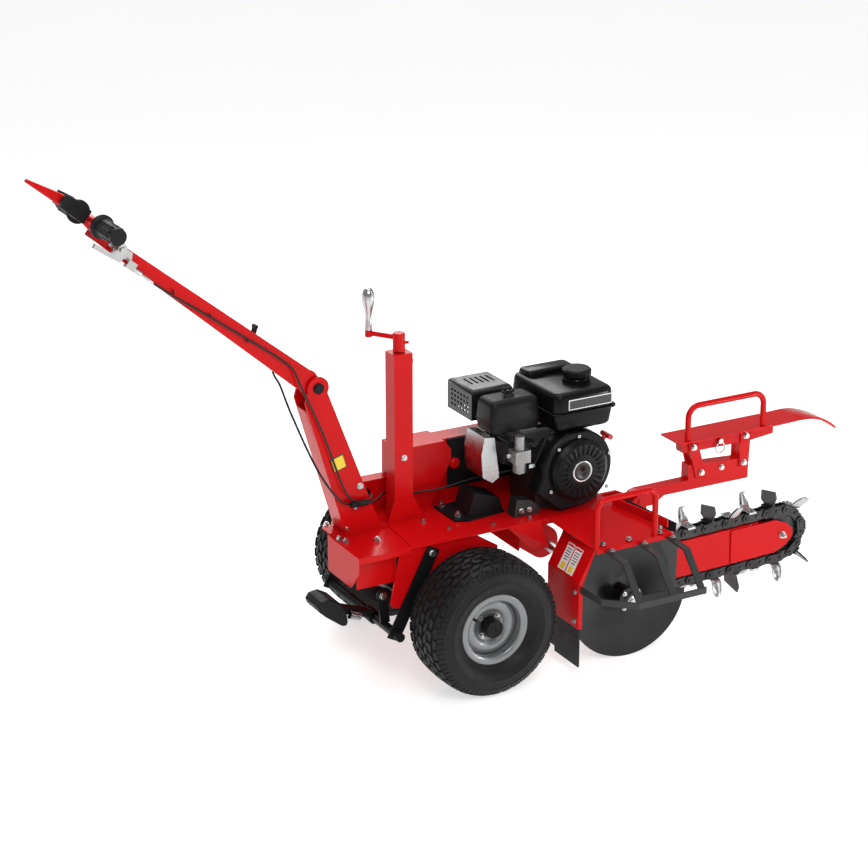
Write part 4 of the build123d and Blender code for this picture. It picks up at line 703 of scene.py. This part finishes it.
# ---------------------------------------------------------------- soil auger
def auger_flight():
    """One smooth helical flight, cupped a little toward the near side."""
    turns, pitch, start = 112 / 96, 96, -379
    steps, rows = 300, 12
    points, faces = [], []
    for i in range(steps + 1):
        t = 2 * pi * turns * i / steps
        for face_side in (-2.5, 2.5):
            for j in range(rows + 1):
                u = j / rows
                r = 29 + 179 * u
                y = start + pitch * t / (2 * pi) + face_side * (1 - 0.35 * u) - 13 * u * u
                points.append(at(SHAFT_X + r * cos(t), y, SHAFT_Z - r * sin(t)))
    wide = rows + 1
    span = 2 * wide
    for i in range(steps):
        a, b = i * span, (i + 1) * span
        for j in range(rows):
            faces.append((a + j, a + j + 1, b + j + 1, b + j))
            faces.append((a + wide + j, b + wide + j, b + wide + j + 1, a + wide + j + 1))
        faces.append((a + rows, a + wide + rows, b + wide + rows, b + rows))
        faces.append((a, b, b + wide, a + wide))
    for a in (0, steps * span):
        for j in range(rows):
            faces.append((a + j, a + wide + j, a + wide + j + 1, a + j + 1))
    return mesh_of("auger_flight", points, faces)


shaft_line = at(SHAFT_X, 0, SHAFT_Z)
auger_tube = lathe("auger_tube", [(17.6, -372), (28, -372), (30, -370), (30, -266), (28, -264), (17.6, -264)],
                   shaft_line, 72)
auger_hub = lathe("auger_hub", [(0.01, -380), (44.5, -380), (46, -381.5), (46, -388.5), (44.5, -390),
                                (30, -391), (26, -395), (24, -396), (0.01, -396)], shaft_line, 72)
piece("smooth_auger", joined("auger_mesh", [auger_flight(), auger_tube, auger_hub]), DISC, "digging_shaft",
      "auger", bevel=0.0006, slot="black_coat")
hub_bolts = [hex_head((SHAFT_X, -395.5, SHAFT_Z), (0, -1, 0), 20, 12)]
for k in range(4):
    a = radians(45 + 90 * k)
    spot = (SHAFT_X + 36 * cos(a), -389.8, SHAFT_Z + 36 * sin(a))
    hub_bolts.append(hex_head(spot, (0, -1, 0), 10, 7))
piece("auger_hub_bolts", joined("auger_bolts_mesh", hub_bolts), ZINC, "digging_shaft", smooth=False,
      slot="zinc")

# ---------------------------------------------------------------- small fittings
COIL_RADIUS, COIL_STEPS = 12.6, 72
coil = []
for k in range(COIL_STEPS + 1):
    a = 2 * pi * k / 8
    run = k / COIL_STEPS
    sway = COIL_RADIUS * sin(a)
    coil.append(at(-312 - 38 * run + sway * 0.37, -94 + COIL_RADIUS * cos(a), 214 + 15 * run + sway * 0.93))
tube("pedal_spring", coil, 0.0015, ZINC, "pedal")
piece("brake_bolt", hex_head((-266, -162, 304), (0, -1, 0), 17, 8), ZINC, "brake", smooth=False, slot="zinc")
sleeve = [at(-322, -60, 589), at(-305, -60.5, 587.5), at(-285, -60, 587), at(-264, -58, 587.5)]
tube("cable_sleeve", sleeve, 0.0098, RUBBER, "chassis")
strap = []
for k in range(9):
    a = radians(-40 + 32 * k)
    strap.append(at(-300, -60 + 12 * cos(a), 588 + 12 * sin(a)))
tube("cable_clip", strap, 0.0016, PLASTIC, "chassis")
piece("clip_screw", hex_head((-300, -44, 570), (0, -1, 0), 8, 6), ZINC, "chassis", smooth=False)
for s, tag in ((0.05, "a"), (0.38, "b"), (0.72, "c")):
    where = 560 - 440 * s
    centre = arm(where + 60, 1.5, -36.5)
    hoop = []
    for k in range(11):
        a = 2 * pi * k / 10
        hoop.append(centre + Vector((0, 6.2 * cos(a), 6.2 * sin(a))) / 1000)
    tube(f"arm_tie_{tag}", hoop, 0.0013, PLASTIC, "upper_arm")
treads = []
for k in range(5):
    x, z = -398 - 7.2 * k, 286.5 + 4.25 * k
    tread = [at(x + dx, -110, z + dz) for dx, dz in ((0, 0), (3.5, -2), (5.2, 1), (1.7, 3))]
    treads.append(slab("tread", tread, (0, 0.094, 0)))
piece("pedal_treads", joined("treads_mesh", treads), RUBBER, "pedal", smooth=False, bevel=0.0008)
for k, x in enumerate((392, 517, 624)):
    piece(f"cage_bolt_{k}", hex_head((x, -470, 438.2), (0, 0.03, 1), 11, 6.5), ZINC, "chassis", smooth=False)

# ---------------------------------------------------------------- camera, light, floor
camera_data = bpy.data.cameras.new("camera")
camera_data.lens = 98.2
camera_data.sensor_width = 36
camera_data.clip_end = 60
camera = bpy.data.objects.new("camera", camera_data)
scene.collection.objects.link(camera)
camera.location = at(-3429.1, -6214.9, 3403.0)
aim = at(8.7, 0, 747.6) - camera.location
camera.rotation_euler = aim.to_track_quat("-Z", "Y").to_euler()
scene.camera = camera


def light(name, place, target, size, power):
    """A white rectangular lamp at a place, turned toward a target."""
    data = bpy.data.lights.new(name, "AREA")
    data.shape = "RECTANGLE"
    data.size, data.size_y = size
    data.energy = power
    obj = bpy.data.objects.new(name, data)
    scene.collection.objects.link(obj)
    obj.location = place
    obj.rotation_euler = (Vector(target) - Vector(place)).to_track_quat("-Z", "Y").to_euler()


light("key", (-1.6, -4.2, 4.6), (0, 0, 0.5), (2.4, 2.4), 120)
light("top", (0.4, 0.4, 5.5), (0, 0, 0), (4.5, 3.5), 110)
light("fill", (4.4, -2.8, 2.6), (0.2, 0, 0.5), (2.0, 3.0), 30)
light("kick", (2.9, -2.9, 0.42), (0.44, -0.3, 0.1), (0.6, 0.6), 26)
light("rim", (1.0, 4.6, 3.4), (0, 0, 0.7), (4.0, 2.0), 80)

world = bpy.data.worlds.new("studio")
scene.world = world
world.use_nodes = True
world.node_tree.nodes["Background"].inputs["Color"].default_value = (1.0, 1.0, 1.0, 1)
world.node_tree.nodes["Background"].inputs["Strength"].default_value = 0.38
scene.view_settings.view_transform = "Standard"

FLOOR_HALF, FLOOR_UNDER, FLOOR_THICK = 30, -0.02, 0.0199
corners = [(x * FLOOR_HALF, y * FLOOR_HALF, FLOOR_UNDER) for x, y in ((-1, -1), (1, -1), (1, 1), (-1, 1))]
floor = slab("floor_mesh", corners, (0, 0, FLOOR_THICK))
glow = FLOOR.node_tree.nodes["Principled BSDF"]
glow.inputs["Emission Color"].default_value = (1, 1, 1, 1)
glow.inputs["Emission Strength"].default_value = 0.60
piece("floor", floor, FLOOR, None, smooth=False)
